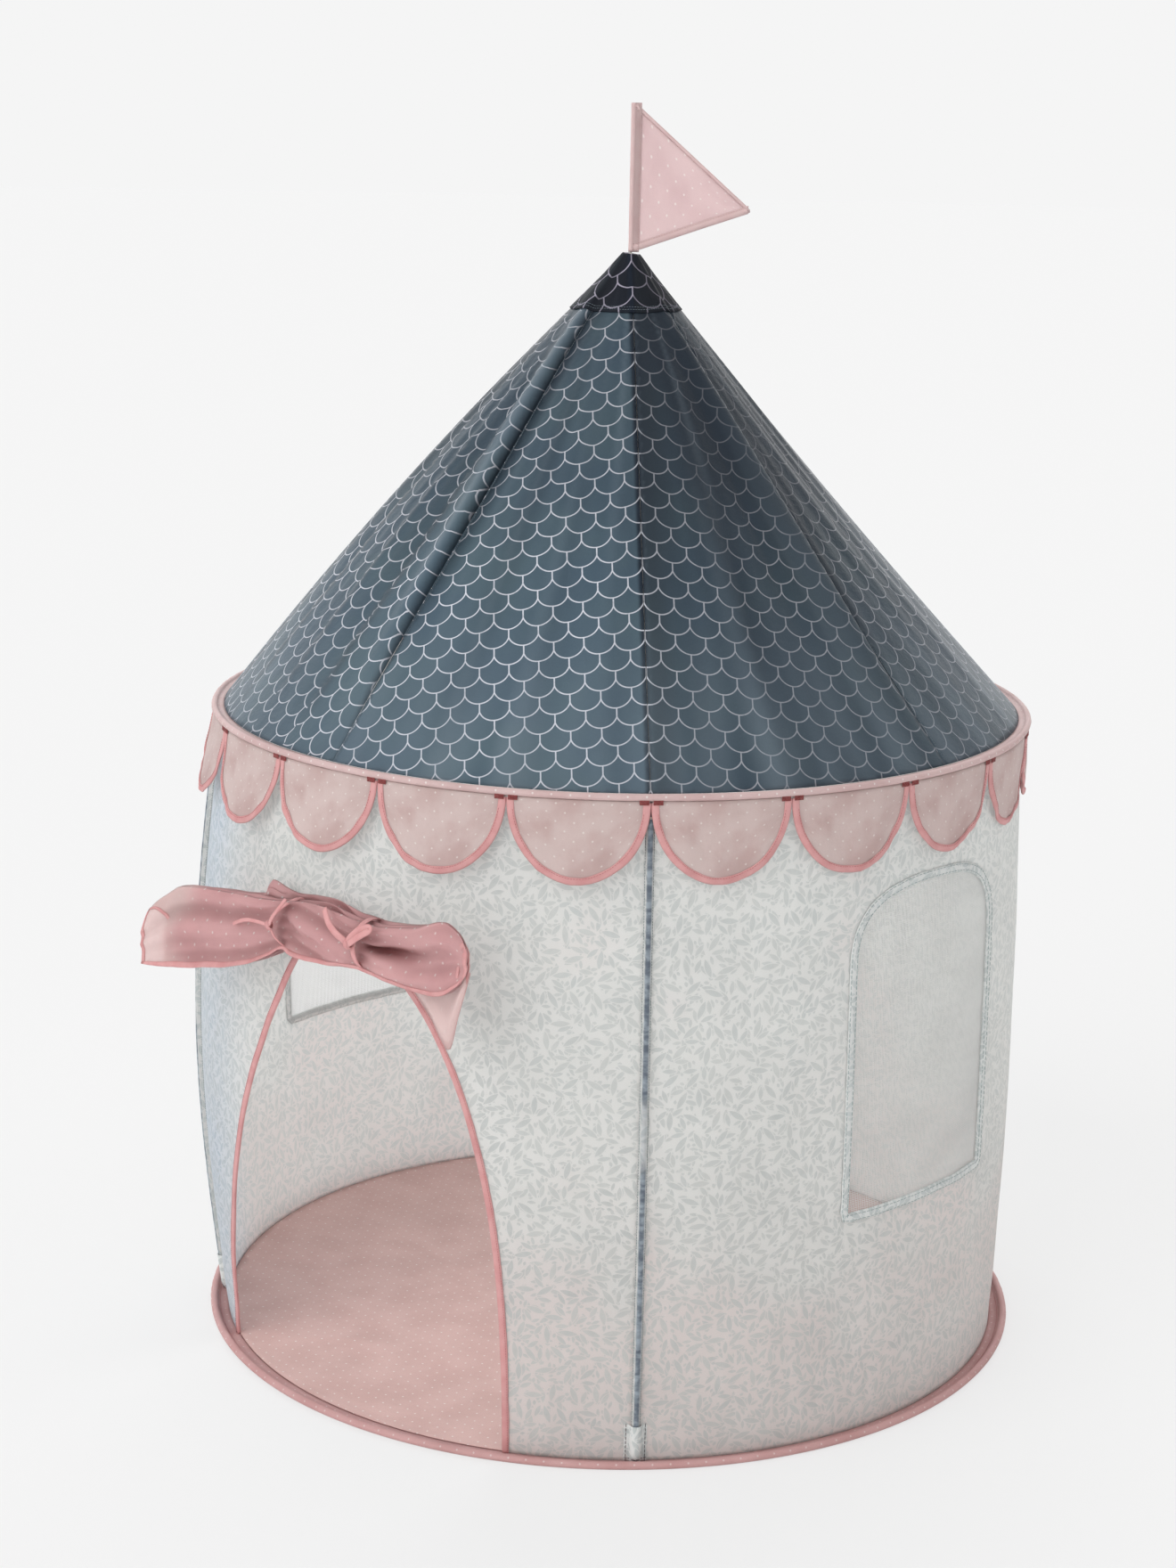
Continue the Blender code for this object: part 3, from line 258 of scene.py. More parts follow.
def use(group, vector, **values):
    node = vector.tree.nodes.new("ShaderNodeGroup")
    node.node_tree = group
    vector.tree.links.new(vector.socket, node.inputs["place"])
    for label, value in values.items():
        node.inputs[label].default_value = value
    return Outputs(node)


def emptyTree(owner):
    owner.use_nodes = True
    owner.node_tree.nodes.clear()
    return owner.node_tree


def distance(x, y):
    return calc("SQRT", x * x + y * y)


def fromCell(x, row, width):
    # distance across from the middle of a cell, where each row is shifted by half a cell
    return calc("WRAP", x / width - row % 2.0 * 0.5, 0.5, -0.5) * width


def buildWeave(given):
    # threads pass over and under each other, and each is a little uneven
    x, y, _ = split(given["place"])
    warp, weft = [calc("SINE", side * math.pi / given["thread"]) for side in (x, y)]
    checks = warp * weft
    return [abs(checks), checks * 0.5 + cloudy(given["place"], 900.0, 2.0)]


def buildDots(given):
    x, y, _ = split(given["place"])
    half = given["pitch"] * 0.5
    row = calc("ROUND", y / half)
    far = distance(fromCell(x, row, given["pitch"]), y - row * half)
    return [ramp(far - given["radius"], -0.0005, 0.0005, 1.0, 0.0)]


def buildTiles(given):
    # roof tiles: arcs that meet in cusps, and a stub from each cusp up to the arc above
    x, y, _ = split(given["place"])
    row = calc("FLOOR", y / given["course"])
    rise = y - row * given["course"]
    across = fromCell(x, row, given["width"])
    middle = given["course"] + given["lift"]
    arc = abs(distance(across, rise - middle) - given["radius"])
    stub = calc("MAXIMUM", abs(across), rise - (middle - given["radius"]))
    near = calc("MINIMUM", arc, stub)
    return [ramp(near - given["line"] * 0.5, -0.00035, 0.00035, 1.0, 0.0)]


def lens(x, y, middle, angle, length, width):
    # 0 in the middle of a pointed leaf, 1 at its edge
    dx, dy = x - middle[0], y - middle[1]
    c, s = math.cos(math.radians(angle)), math.sin(math.radians(angle))
    along = dx * (c * 2 / length) + dy * (s * 2 / length)
    over = dx * (-s * 2 / width) + dy * (c * 2 / width)
    return abs(over) + along * along


def scatter(x, y, layer):
    # a staggered lattice, turned, with its leaves in each cell moved and turned at random
    c, s = math.cos(layer["turn"]) / layer["cell"], math.sin(layer["turn"]) / layer["cell"]
    px, py = x * c + y * s, y * c - x * s
    row = calc("FLOOR", py)
    px = px - row % 2.0 * 0.5
    column = calc("FLOOR", px)
    vector = {"Vector": join(column, row)}
    colour = put(x.tree, "ShaderNodeTexWhiteNoise", vector, noise_dimensions="2D")["Color"]
    chance = put(x.tree, "ShaderNodeSeparateColor", {"Color": colour})
    moved = []
    for at, cell, drawn in ((px, column, "Green"), (py, row, "Blue")):
        shift = (chance[drawn] - 0.5) * layer["stray"]
        moved.append(calc("MULTIPLY_ADD", at - cell - 0.5, layer["cell"], shift))
    vector = {"Vector": join(*moved), "Angle": chance["Red"] * math.tau}
    turned = put(x.tree, "ShaderNodeVectorRotate", vector, rotation_type="Z_AXIS")["Vector"]
    sx, sy, _ = split(turned)
    near = None
    for leaf in layer["leaves"]:
        edge = lens(sx, sy, *leaf)
        near = calc("MINIMUM", near, edge) if near else edge
    return near, chance["Blue"]


def buildLeaves(given):
    # the smaller leaves and the berries show only where they are clear of the larger leaves
    x, y, _ = split(given["place"])
    free = mask = tone = None
    for layer in sprigs:
        near, chance = scatter(x, y, layer)
        leaf = ramp(near, 0.92, 1.08, 1.0, 0.0)
        clear = ramp(near, 1.15, 1.5)
        if free:
            leaf, clear = leaf * free, free * clear
        tone = calc("MULTIPLY_ADD", leaf, chance - (tone or 0.5), tone or 0.5)
        mask = calc("MAXIMUM", leaf, mask or 0.0)
        free = clear
    return [mask, tone]


def buildCrumple(given):
    # soft creases left by folding, for bump and for a little painted shade
    broad = cloudy(given["place"], 9.0, 2.0)
    ridge = abs(cloudy(given["place"], 46.0, 4.0) - 0.5)
    return [broad - ridge * given["sharp"], broad]


# each leaf: its middle, lean in degrees, length and width; a berry is a short one
sprigs = (
    {
        "cell": 0.0240, "turn": 0.0, "stray": 0.0024,
        "leaves": (((-0.0034, 0.0006), 98.0, 0.0216, 0.0062), ((0.0064, -0.0042), 56.0, 0.0156, 0.0050)),
    },
    {
        "cell": 0.0188, "turn": 0.62, "stray": 0.0030,
        "leaves": (((0.0, 0.0), 90.0, 0.0156, 0.0050), ((0.0058, 0.0034), 0.0, 0.0040, 0.0058)),
    },
    {
        "cell": 0.0140, "turn": -0.41, "stray": 0.0030,
        "leaves": (((-0.0010, 0.0), 80.0, 0.0104, 0.0036), ((0.0040, 0.0), 0.0, 0.0034, 0.0048)),
    },
)
tiles = {
    "place": "Vector",
    "width": 0.0335,
    "course": 0.023,
    "radius": 0.0175,
    "lift": 0.00507,
    "line": 0.0015,
}
dots = {"place": "Vector", "pitch": 0.020, "radius": 0.00105}
relief = {"height": "Float", "shade": "Float"}
weaveGroup = makeGroup("plainWeave", {"place": "Vector", "thread": 0.0004}, relief, buildWeave)
dotGroup = makeGroup("pinDots", dots, {"mask": "Float"}, buildDots)
tileGroup = makeGroup("roofTiles", tiles, {"mask": "Float"}, buildTiles)
leafGroup = makeGroup("leafSprigs", {"place": "Vector"}, {"mask": "Float", "tone": "Float"}, buildLeaves)
crumpleGroup = makeGroup("foldCreases", {"place": "Vector", "sharp": 0.8}, relief, buildCrumple)


# Materials

# a cloth's usual look, which each cloth can change
clothLook = {
    "rough": 0.72,
    "gloss": 0.35,
    "letThrough": 0.25,
    "pale": 0.3,
    "crease": 0.0012,  # depths of the bumps, in metres
    "weave": 0.00005,
    "thread": 0.00045,
    "marks": {},
}


def clothMaterial(name, paint, **given):
    # marks gives the colour that each named attribute leads to: painted shade and painted light
    look = {**clothLook, **given}
    made = bpy.data.materials.new(name)
    tree = emptyTree(made)
    uv = put(tree, "ShaderNodeUVMap", uv_map="clothUv")["UV"]
    woven = use(weaveGroup, uv, thread=look["thread"])
    creased = use(crumpleGroup, uv)
    colour = paint(uv)
    for label, reached in look["marks"].items():
        colour = tint(attribute(tree, label), colour, rgb(*reached))
    # painted shade in the creases, and between the threads
    colour = tint(ramp(creased["shade"], 0.35, 0.75, 0.0, 0.06), colour, rgb(70, 72, 76), "MULTIPLY")
    colour = tint(ramp(woven["shade"], 0.2, 0.9, 0.10, 0.0), colour, rgb(100, 100, 102), "MULTIPLY")
    bump = {"Height": creased["height"], "Distance": look["crease"], "Strength": 1.0}
    normal = put(tree, "ShaderNodeBump", bump)["Normal"]
    bump = {"Height": woven["height"], "Distance": look["weave"], "Strength": 0.5, "Normal": normal}
    normal = put(tree, "ShaderNodeBump", bump)["Normal"]
    inputs = {
        "Base Color": colour,
        "Roughness": ramp(woven["shade"], 0.2, 0.9, look["rough"] + 0.06, look["rough"] - 0.06),
        "Normal": normal,
        "Specular IOR Level": look["gloss"],
    }
    front = put(tree, "ShaderNodeBsdfPrincipled", inputs)["BSDF"]
    bright = tint(look["pale"], colour, (1.0, 1.0, 1.0, 1.0))
    through = put(tree, "ShaderNodeBsdfTranslucent", {"Color": bright, "Normal": normal})["BSDF"]
    both = put(tree, "ShaderNodeMixShader", {0: look["letThrough"], 1: front, 2: through})[0]
    put(tree, "ShaderNodeOutputMaterial", {"Surface": both})
    return made


def leafPaint(ground, printedLeaf, patch, amount):
    def paint(uv):
        printed = use(leafGroup, uv)
        # the pinkish patches, random in themselves, come more often towards the bottom: a painted reflection
        # of the pink floor
        low = ramp(split(uv)[1], 0.05, 0.5, 0.25, -0.12)
        where = ramp(cloudy(uv, 5.0, 2.0) + low, 0.44, 0.72, 0.0, amount)
        # painted bluish light, left of the door
        cool = attribute(uv.tree, "cool")
        base = tint(cool, tint(where, rgb(*ground), rgb(*patch)), rgb(212, 220, 228))
        leaf = tint(cool, rgb(*printedLeaf), rgb(172, 190, 201))
        shade = tint(ramp(printed["tone"], 0.0, 1.0, 0.0, 0.5), leaf, rgb(190, 197, 196))
        edge = tint(ramp(cloudy(uv, 160.0, 2.0), 0.3, 0.7, 0.8, 1.0), base, shade)
        return tint(printed["mask"], base, edge)

    return paint


def sleevePaint(uv):
    # painted shadow of the pole: it shows through the narrow tube as a mottled line, in patches
    cloth = leafPaint((229, 230, 228), (207, 212, 211), (224, 222, 220), 0.6)(uv)
    across, height, _ = split(uv)
    tube = ramp(abs(across - 0.0100), 0.0020, 0.0042, 1.0, 0.0)
    gap = ramp(abs(height - 0.345), 0.022, 0.050, 0.30, 1.0)
    spots = cloudy(join(across * 0.5, height), 130.0, 3.0)
    return tint(tube * gap, cloth, tint(ramp(spots, 0.36, 0.66), rgb(106, 116, 129), rgb(170, 181, 190)))


def dotPaint(ground, patch, strength=0.75):
    def paint(uv):
        base = tint(ramp(cloudy(uv, 19.0, 4.0), 0.38, 0.66, 0.0, 0.9), rgb(*ground), rgb(*patch))
        return tint(use(dotGroup, uv)["mask"] * strength, base, rgb(250, 244, 240))

    return paint


def tilePaint(ground, patch, line=(226, 228, 237)):
    # painted shade on the right of a pole, and a painted shadow of the pole along it; the print's lines are
    # worn
    def paint(uv):
        base = tint(ramp(cloudy(uv, 7.0, 3.0), 0.38, 0.66), rgb(*ground), rgb(*patch))
        x, _, _ = split(uv)
        beside = calc("GREATER_THAN", x, 0.0) * ramp(x, 0.010, 0.046, 0.55, 0.0)
        base = tint(beside, base, rgb(52, 59, 64))
        # painted shadow of the pole, as though it showed through the cloth
        base = tint(ramp(abs(x + 0.0012), 0.0010, 0.0064, 0.9, 0.0), base, rgb(24, 34, 48))
        worn = ramp(cloudy(uv, 120.0, 3.0), 0.25, 0.5, 0.69, 0.94)
        return tint(use(tileGroup, uv)["mask"] * worn, base, rgb(*line))

    return paint


def plainPaint(ground, patch, scale=30.0):
    def paint(uv):
        return tint(ramp(cloudy(uv, scale, 3.0), 0.35, 0.68), rgb(*ground), rgb(*patch))

    return paint


def solidMaterial(name, ground, patch, rough, metal=0.0, coat=0.0, scale=90.0, stretch=(1, 1, 1)):
    # on the CAD's own pieces, so it reads Object coordinates
    made = bpy.data.materials.new(name)
    tree = emptyTree(made)
    spot = put(tree, "ShaderNodeTexCoord")["Object"]
    marks = cloudy(put(tree, "ShaderNodeMapping", {"Vector": spot, "Scale": stretch})["Vector"], scale, 4.0)
    bump = {"Height": marks, "Distance": 0.00004, "Strength": 0.6}
    inputs = {
        "Base Color": tint(ramp(marks, 0.35, 0.68), rgb(*ground), rgb(*patch)),
        "Roughness": ramp(marks, 0.3, 0.7, rough - 0.08, rough + 0.08),
        "Normal": put(tree, "ShaderNodeBump", bump)["Normal"],
        "Metallic": metal,
        "Coat Weight": coat,
    }
    shader = put(tree, "ShaderNodeBsdfPrincipled", inputs)["BSDF"]
    put(tree, "ShaderNodeOutputMaterial", {"Surface": shader})
    return made


# ground, printed leaf, patches and how strong they are
wallPaint = leafPaint((228, 229, 226), (203, 207, 204), (228, 218, 215), 0.75)
edgePaint = leafPaint((243, 244, 241), (220, 226, 225), (238, 240, 239), 0.6)
# ground and patches
slatePaint = tilePaint((76, 95, 109), (82, 102, 112))
navyPaint = tilePaint((24, 29, 39), (32, 37, 47), line=(196, 190, 208))
# its darker patches, random in themselves, are strong so as to paint the shade of the scallops' soft creases
pinkPaint = dotPaint((226, 207, 203), (211, 183, 179))
flagPaint = dotPaint((230, 204, 204), (223, 193, 194))
flapPaint = dotPaint((233, 188, 188), (226, 177, 178), strength=0.85)
rosePaint = plainPaint((238, 184, 183), (230, 168, 168), 60.0)
hemPaint = plainPaint((235, 208, 206), (230, 198, 197))
floorPaint = dotPaint((224, 188, 182), (217, 179, 173))
channelPaint = dotPaint((227, 200, 198), (218, 187, 185))
floorEdgePaint = dotPaint((220, 176, 174), (212, 164, 162), strength=0.5)
netPaint = plainPaint((240, 241, 239), (232, 233, 231))
# painted shade and painted highlight on the roof
roofPaintedShading = {"shade": (30, 36, 46), "light": (134, 149, 160)}
# painted shade and painted backlight on the flap
flapPaintedShading = {"light": (239, 217, 213), "shade": (132, 58, 56)}
clothTable = {
    "wall": ("leafCloth", wallPaint, {"letThrough": 0.6, "pale": 0.62}),
    "edge": ("leafBindingCloth", edgePaint, {"letThrough": 0.3, "pale": 0.8}),
    "sleeve": ("poleSleeveCloth", sleevePaint, {"letThrough": 0.3, "pale": 0.5}),
    "slate": (
        "slateTileCloth",
        slatePaint,
        {"rough": 0.42, "letThrough": 0.12, "pale": 0.1, "crease": 0.0018, "gloss": 0.14, "marks": roofPaintedShading},
    ),
    "navy": (
        "navyTileCloth",
        navyPaint,
        {"rough": 0.6, "letThrough": 0.03, "pale": 0.0, "gloss": 0.12, "marks": {"shade": (14, 17, 24)}},
    ),
    "pink": ("palePinkCloth", pinkPaint, {"rough": 0.55, "letThrough": 0.4, "pale": 0.5}),
    "flag": ("flagCloth", flagPaint, {"rough": 0.5, "letThrough": 0.4, "pale": 0.5}),
    "flap": ("flapCloth", flapPaint, {"rough": 0.42, "letThrough": 0.5, "pale": 0.55, "marks": flapPaintedShading}),
    "rose": ("roseBindingCloth", rosePaint, {"rough": 0.5, "letThrough": 0.35, "pale": 0.4}),
    "hem": ("pinkHemCloth", hemPaint, {"rough": 0.55}),
    "floor": ("floorCloth", floorPaint, {"rough": 0.55, "letThrough": 0.05}),
    "channel": ("channelCloth", channelPaint, {"rough": 0.6}),
    "floorEdge": ("floorEdgeCloth", floorEdgePaint, {"rough": 0.6}),
    "net": ("netThread", netPaint, {"letThrough": 0.5, "pale": 0.6}),
}
# colours, and how much light a thread lets through
threadTable = {
    "tack": ("maroonThread", (156, 84, 82), (132, 62, 62), 0.05),
    "roseThread": ("roseThread", (206, 132, 134), (190, 114, 118), 0.1),
    "pinkThread": ("pinkThread", (224, 192, 190), (214, 178, 177), 0.1),
    "greyThread": ("greyThread", (176, 188, 187), (156, 170, 171), 0.1),
    "pocketThread": ("pocketThread", (98, 96, 102), (120, 92, 94), 0.1),
    "darkThread": ("slateThread", (118, 130, 138), (98, 110, 118), 0.1),
}
cloths = {key: clothMaterial(name, paint, **look) for key, (name, paint, look) in clothTable.items()}
for key, (name, ground, patch, letThrough) in threadTable.items():
    cloths[key] = clothMaterial(name, plainPaint(ground, patch, 300.0), letThrough=letThrough)
rodLook = {"coat": 0.4, "scale": 200.0, "stretch": (6, 6, 1)}
solids = {
    "steel": solidMaterial("springSteel", (176, 178, 180), (150, 152, 156), 0.34, metal=1.0, scale=260.0),
    "fibreglass": solidMaterial("fibreglassRod", (232, 229, 220), (218, 214, 203), 0.38, **rodLook),
    "black_plastic": solidMaterial("mouldedPlastic", (40, 41, 43), (52, 53, 56), 0.5, scale=600.0),
}
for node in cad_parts.values():
    for slot in node.material_slots:
        for word, made in solids.items():
            if slot.material and word in slot.material.name:
                slot.material = made
print("materials: made", len(cloths) + len(solids))


# Meshes


def addMesh(name, points, faces, uvs, material, marks=None):
    # marks are values at the points that the material reads: painted shade, painted light and painted bluish
    # light
    mesh = bpy.data.meshes.new(name)
    mesh.from_pydata([tuple(p) for p in points], [], faces)
    layer = mesh.uv_layers.new(name="clothUv")
    layer.data.foreach_set("uv", [value for face in uvs for pair in face for value in pair])
    for label, values in (marks or {}).items():
        mesh.attributes.new(label, "FLOAT", "POINT").data.foreach_set("value", values)
    mesh.polygons.foreach_set("use_smooth", [True] * len(faces))
    mesh.materials.append(cloths[material])
    return show(name, mesh)


def show(name, data):
    made = bpy.data.objects.new(name, data)
    bpy.context.scene.collection.objects.link(made)
    return made


def weld(made, gap=1e-5):
    # joins points that lie together, and leaves out those that no face uses
    bm = bmesh.new()
    bm.from_mesh(made.data)
    bmesh.ops.remove_doubles(bm, verts=bm.verts, dist=gap)
    bmesh.ops.dissolve_degenerate(bm, edges=bm.edges, dist=gap)
    bmesh.ops.delete(bm, geom=[v for v in bm.verts if not v.link_faces], context="VERTS")
    bm.to_mesh(made.data)
    bm.free()


def thicken(made, thickness):
    made.modifiers.new("clothThickness", "SOLIDIFY").thickness = thickness
    made.modifiers[0].offset = 0.0
    return made


def grid(down, across, point):
    # rows of points, each made from its share down and its share across
    return [[point(j / down, i / across) for i in range(across + 1)] for j in range(down + 1)]


def strips(name, rowSets, material, thickness, closed=False, marks=None):
    # each set of rows is a strip of cloth, with its UVs in metres along and across it
    points, faces, uvs = [], [], []
    for rows in rowSets:
        start, wide = len(points), len(rows[0])
        middle = rows[len(rows) // 2]
        along, up = [0.0], [0.0]
        for i in range(wide):
            along.append(along[-1] + (middle[(i + 1) % wide] - middle[i]).length)
        for low, high in zip(rows, rows[1:]):
            up.append(up[-1] + (high[wide // 2] - low[wide // 2]).length)
        points += [p for row in rows for p in row]
        for j in range(len(rows) - 1):
            for i in range(wide if closed else wide - 1):
                k = (i + 1) % wide
                a, b = start + j * wide, start + (j + 1) * wide
                faces.append((a + i, a + k, b + k, b + i))
                corners = ((i, j), (i + 1, j), (i + 1, j + 1), (i, j + 1))
                uvs.append([(along[x], up[y]) for x, y in corners])
    made = addMesh(name, points, faces, uvs, material, marks)
    return thicken(made, thickness) if thickness else made


rowRatio = 0.87  # height of a row of triangles, as a share of a triangle's side


def spread(loops, creases, lattice, clear):
    # triangles between closed loops, open creases, and the lattice's points that are clear of both
    points, edges = [], []
    for line, closed in [(loop, True) for loop in loops] + [(crease, False) for crease in creases]:
        start = len(points)
        points += [Vector(p) for p in line]
        edges += [(start + i, start + i + 1) for i in range(len(line) - 1)]
        if closed:
            edges.append((start + len(line) - 1, start))
    tree = KDTree(len(points))
    for i, p in enumerate(points):
        tree.insert((p.x, p.y, 0), i)
    tree.balance()
    points += [Vector(p) for p in lattice if tree.find((*p, 0))[2] > clear]
    spots, _, triangles, *_ = delaunay_2d_cdt(points, edges, [], 0, 1e-6)
    return spots, triangles


def cutCloth(name, net, held, surface, uvAt, material, marks=None):
    # lays the triangles that the cloth holds on a surface
    spots, triangles = net
    faces, uvs = [], []
    for face in triangles:
        middle = (spots[face[0]] + spots[face[1]] + spots[face[2]]) / 3
        if held(middle):
            faces.append(tuple(face))
            uvs.append([uvAt(spots[i], middle) for i in face])
    values = {label: [value(p) for p in spots] for label, value in (marks or {}).items()}
    return addMesh(name, [surface(p) for p in spots], faces, uvs, material, values)


def finishSheet(made, body, slot, nodes, flat, held, restsOn, area=None, withPieces=()):
    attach(made, body)
    if nodes:
        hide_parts(*nodes)
    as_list(restsOn)
    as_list(withPieces)
    measured = sum(face.area for face in made.data.polygons)
    print("sheet:", made.name, "area", round(measured, 4), "flat", round(area or flat[0] * flat[1], 4))


# Geometry Nodes: rows of stitches, and a net of threads


def finishThreads(geometry, given):
    real = put(geometry.tree, "GeometryNodeRealizeInstances", {"Geometry": geometry})[0]
    inputs = {"Geometry": real, "Material": given["Material"]}
    return [put(geometry.tree, "GeometryNodeSetMaterial", inputs)["Geometry"]]


def buildStitches(given):
    # each polyline becomes a run of short threads, laid end to end with gaps
    curve, tree = given["Geometry"], given["Geometry"].tree
    curve = put(tree, "GeometryNodeMeshToCurve", {"Mesh": curve})["Curve"]
    even = {"Curve": curve, "Length": given["Pitch"]}
    even = put(tree, "GeometryNodeResampleCurve", even, mode="LENGTH")["Curve"]
    spots = put(tree, "GeometryNodeCurveToPoints", {"Curve": even}, mode="EVALUATED")
    rod = {"Vertices": 5, "Side Segments": 3, "Radius": given["Thread"], "Depth": given["Stitch"]}
    rod = put(tree, "GeometryNodeMeshCylinder", rod)["Mesh"]
    x, y, z = split(put(tree, "GeometryNodeInputPosition")["Position"])
    share = ramp(abs(z), 0.0, given["Stitch"], 1.15, 0.1, way="LINEAR")
    tapered = {"Geometry": rod, "Position": join(x * share, y * share, z)}
    tapered = put(tree, "GeometryNodeSetPosition", tapered)["Geometry"]
    turn = put(tree, "FunctionNodeAlignRotationToVector", {"Vector": spots["Tangent"]}, axis="Z")["Rotation"]
    laid = {"Points": spots["Points"], "Instance": tapered, "Rotation": turn}
    return finishThreads(put(tree, "GeometryNodeInstanceOnPoints", laid)["Instances"], given)


def buildThreads(given):
    # each polyline becomes a thin closed thread
    curve, tree = given["Geometry"], given["Geometry"].tree
    curve = put(tree, "GeometryNodeMeshToCurve", {"Mesh": curve})["Curve"]
    ring = {"Resolution": 4, "Radius": given["Thread"]}
    ring = put(tree, "GeometryNodeCurvePrimitiveCircle", ring)["Curve"]
    tube = {"Curve": curve, "Profile Curve": ring, "Fill Caps": True}
    return finishThreads(put(tree, "GeometryNodeCurveToMesh", tube)["Mesh"], given)


def grow(name, lines, tree, values):
    # runs a tree on polylines and keeps the plain mesh that it makes
    points, edges = [], []
    for line in lines:
        edges += [(len(points) + i, len(points) + i + 1) for i in range(len(line) - 1)]
        points += [tuple(p) for p in line]
    mesh = bpy.data.meshes.new(name + "Lines")
    mesh.from_pydata(points, edges, [])
    seed = show(name + "Lines", mesh)
    modifier = seed.modifiers.new("make", "NODES")
    modifier.node_group = tree
    sockets = {item.name: item.identifier for item in tree.interface.items_tree if item.in_out == "INPUT"}
    for label, value in values.items():
        modifier[sockets[label]] = value
    bpy.context.view_layer.update()
    grown = seed.evaluated_get(bpy.context.evaluated_depsgraph_get())
    made = bpy.data.objects.new(name, bpy.data.meshes.new_from_object(grown))
    made.data.name = name
    bpy.data.objects.remove(seed)
    bpy.context.scene.collection.objects.link(made)
    if "clothUv" not in made.data.uv_layers:
        corners = [made.data.vertices[loop.vertex_index].co for loop in made.data.loops]
        layer = made.data.uv_layers.new(name="clothUv")
        layer.data.foreach_set("uv", [value for p in corners for value in (p.x + p.y * 0.5, p.z)])
    return made


threadInputs = {"Geometry": "Geometry", "Thread": 0.0003, "Material": "Material"}
stitchInputs = {**threadInputs, "Pitch": 0.003, "Stitch": 0.0022}
geometryOut = {"Geometry": "Geometry"}
stitchRun = makeGroup("stitchRun", stitchInputs, geometryOut, buildStitches, "GeometryNodeTree")
threadNet = makeGroup("threadNet", threadInputs, geometryOut, buildThreads, "GeometryNodeTree")
stitchLines = {}  # (body, thread) to polylines


def stitch(line, thread, body="tent"):
    stitchLines.setdefault((body, thread), []).append(line)


# Walls

wall = {
    "foot": 0.0019,
    "head": 0.7587,
    "radius": 0.4775,
    "bend": 0.742,  # the poles are straight above this
    "bows": (0.030, 0.012, 0.008, 0.012),  # front left, front right, back right, back left
    "slack": 0.35,
    "ripple": 0.0018,
    "wrinkle": 0.0016,
    "step": 0.0062,
    "holeStep": 0.005,
    "gap": 0.12,  # degrees from a panel's end to the pole
    "cloth": 0.0009,  # thickness, as in the dictionaries below
}
metre = math.radians(1) * wall["radius"]  # metres along the wall for each degree


def betweenPoles(values, azimuth, loss=0.0):
    turn = (azimuth + 45) / 90
    first = math.floor(turn)
    share = turn - first
    ease = (1 - math.cos(math.pi * share)) / 2
    return lerp(values[first % 4], values[(first + 1) % 4], ease) - loss * math.sin(math.pi * share) ** 2


def fromPole(azimuth):
    return abs((azimuth + 90) % 90 - 45)


def wallRadius(azimuth, height):
    if height >= wall["bend"]:
        return wall["radius"]
    bow = betweenPoles(wall["bows"], azimuth)
    bow *= 1 - wall["slack"] * math.sin(math.radians(2 * (azimuth - 45))) ** 2
    ripple = wall["ripple"] * math.sin(math.radians(6 * (azimuth - 45)))
    return wall["radius"] + (bow + ripple) * math.sin(math.pi * max(height, 0) / wall["bend"])


def wallWrinkle(azimuth, height):
    free = smooth(1.5, 9, fromPole(azimuth)) * smooth(0.0, 0.05, height) * smooth(0.0, 0.04, 0.757 - height)
    soft = waves(azimuth * 0.13, height * 2.2, 1.3) + 0.6 * waves(azimuth * 0.4, height * 6, 5.1)
    pull = waves(azimuth * 0.9, height * 1.2, 9.4) * smooth(0.6, 0.757, height) * 0.9
    hang = waves(azimuth * 0.55, height * 0.9, 3.4) * smooth(0.25, 0.0, height) * 1.1
    return wall["wrinkle"] * free * (soft + pull + hang)


def wallPoint(azimuth, height, out=0.0):
    return place(azimuth, wallRadius(azimuth, height) + wallWrinkle(azimuth, height) + out, height)


# left and right are degrees from the middle at the floor, and the shapes bend each side inwards
door = {
    "height": 0.585,
    "left": 28.0,
    "leftShape": (1.4, 1.2),
    "right": 27.3,
    "rightShape": (2.7, 2.0),
    "middle": 0.2,  # a height inside the opening
    "binding": 0.007,
}
window = {
    "rightMiddle": 88.2,  # azimuths
    "leftMiddle": -92.5,
    "half": 0.119,
    "sill": 0.270,
    "shoulder": 0.553,
    "arch": 0.085,
    "middle": 0.43,  # a height inside the opening
    "binding": 0.010,
}


def doorOutline(count=46):
    # from the left foot, over the top, to the right foot
    made = []
    for side, most, (a, b) in ((-1, door["left"], door["leftShape"]), (1, door["right"], door["rightShape"])):
        line = []
        for i in range(count + 1):
            rise = math.sin(math.pi / 2 * i / count)
            line.append((side * most * (1 - rise**a) ** (1 / b), door["height"] * rise))
        made += line if side < 0 else line[::-1][1:]
    return made


def windowOutline(middle, count=26):
    half = math.degrees(math.asin(window["half"] / wallRadius(middle, window["shoulder"])))
    sill, shoulder = window["sill"], window["shoulder"]
    line = [(middle + half * x, sill) for x in (-1, -0.5, 0, 0.5)]
    line += [(middle + half, lerp(sill, shoulder, i / 14)) for i in range(14)]
    for i in range(count + 1):
        turn = math.pi * i / count
        across = math.copysign(abs(math.cos(turn)) ** 0.75, math.cos(turn))
        line.append((middle + half * across, shoulder + window["arch"] * max(0.0, math.sin(turn)) ** 0.75))
    line += [(middle - half, lerp(shoulder, sill, i / 14)) for i in range(1, 14)]
    return line


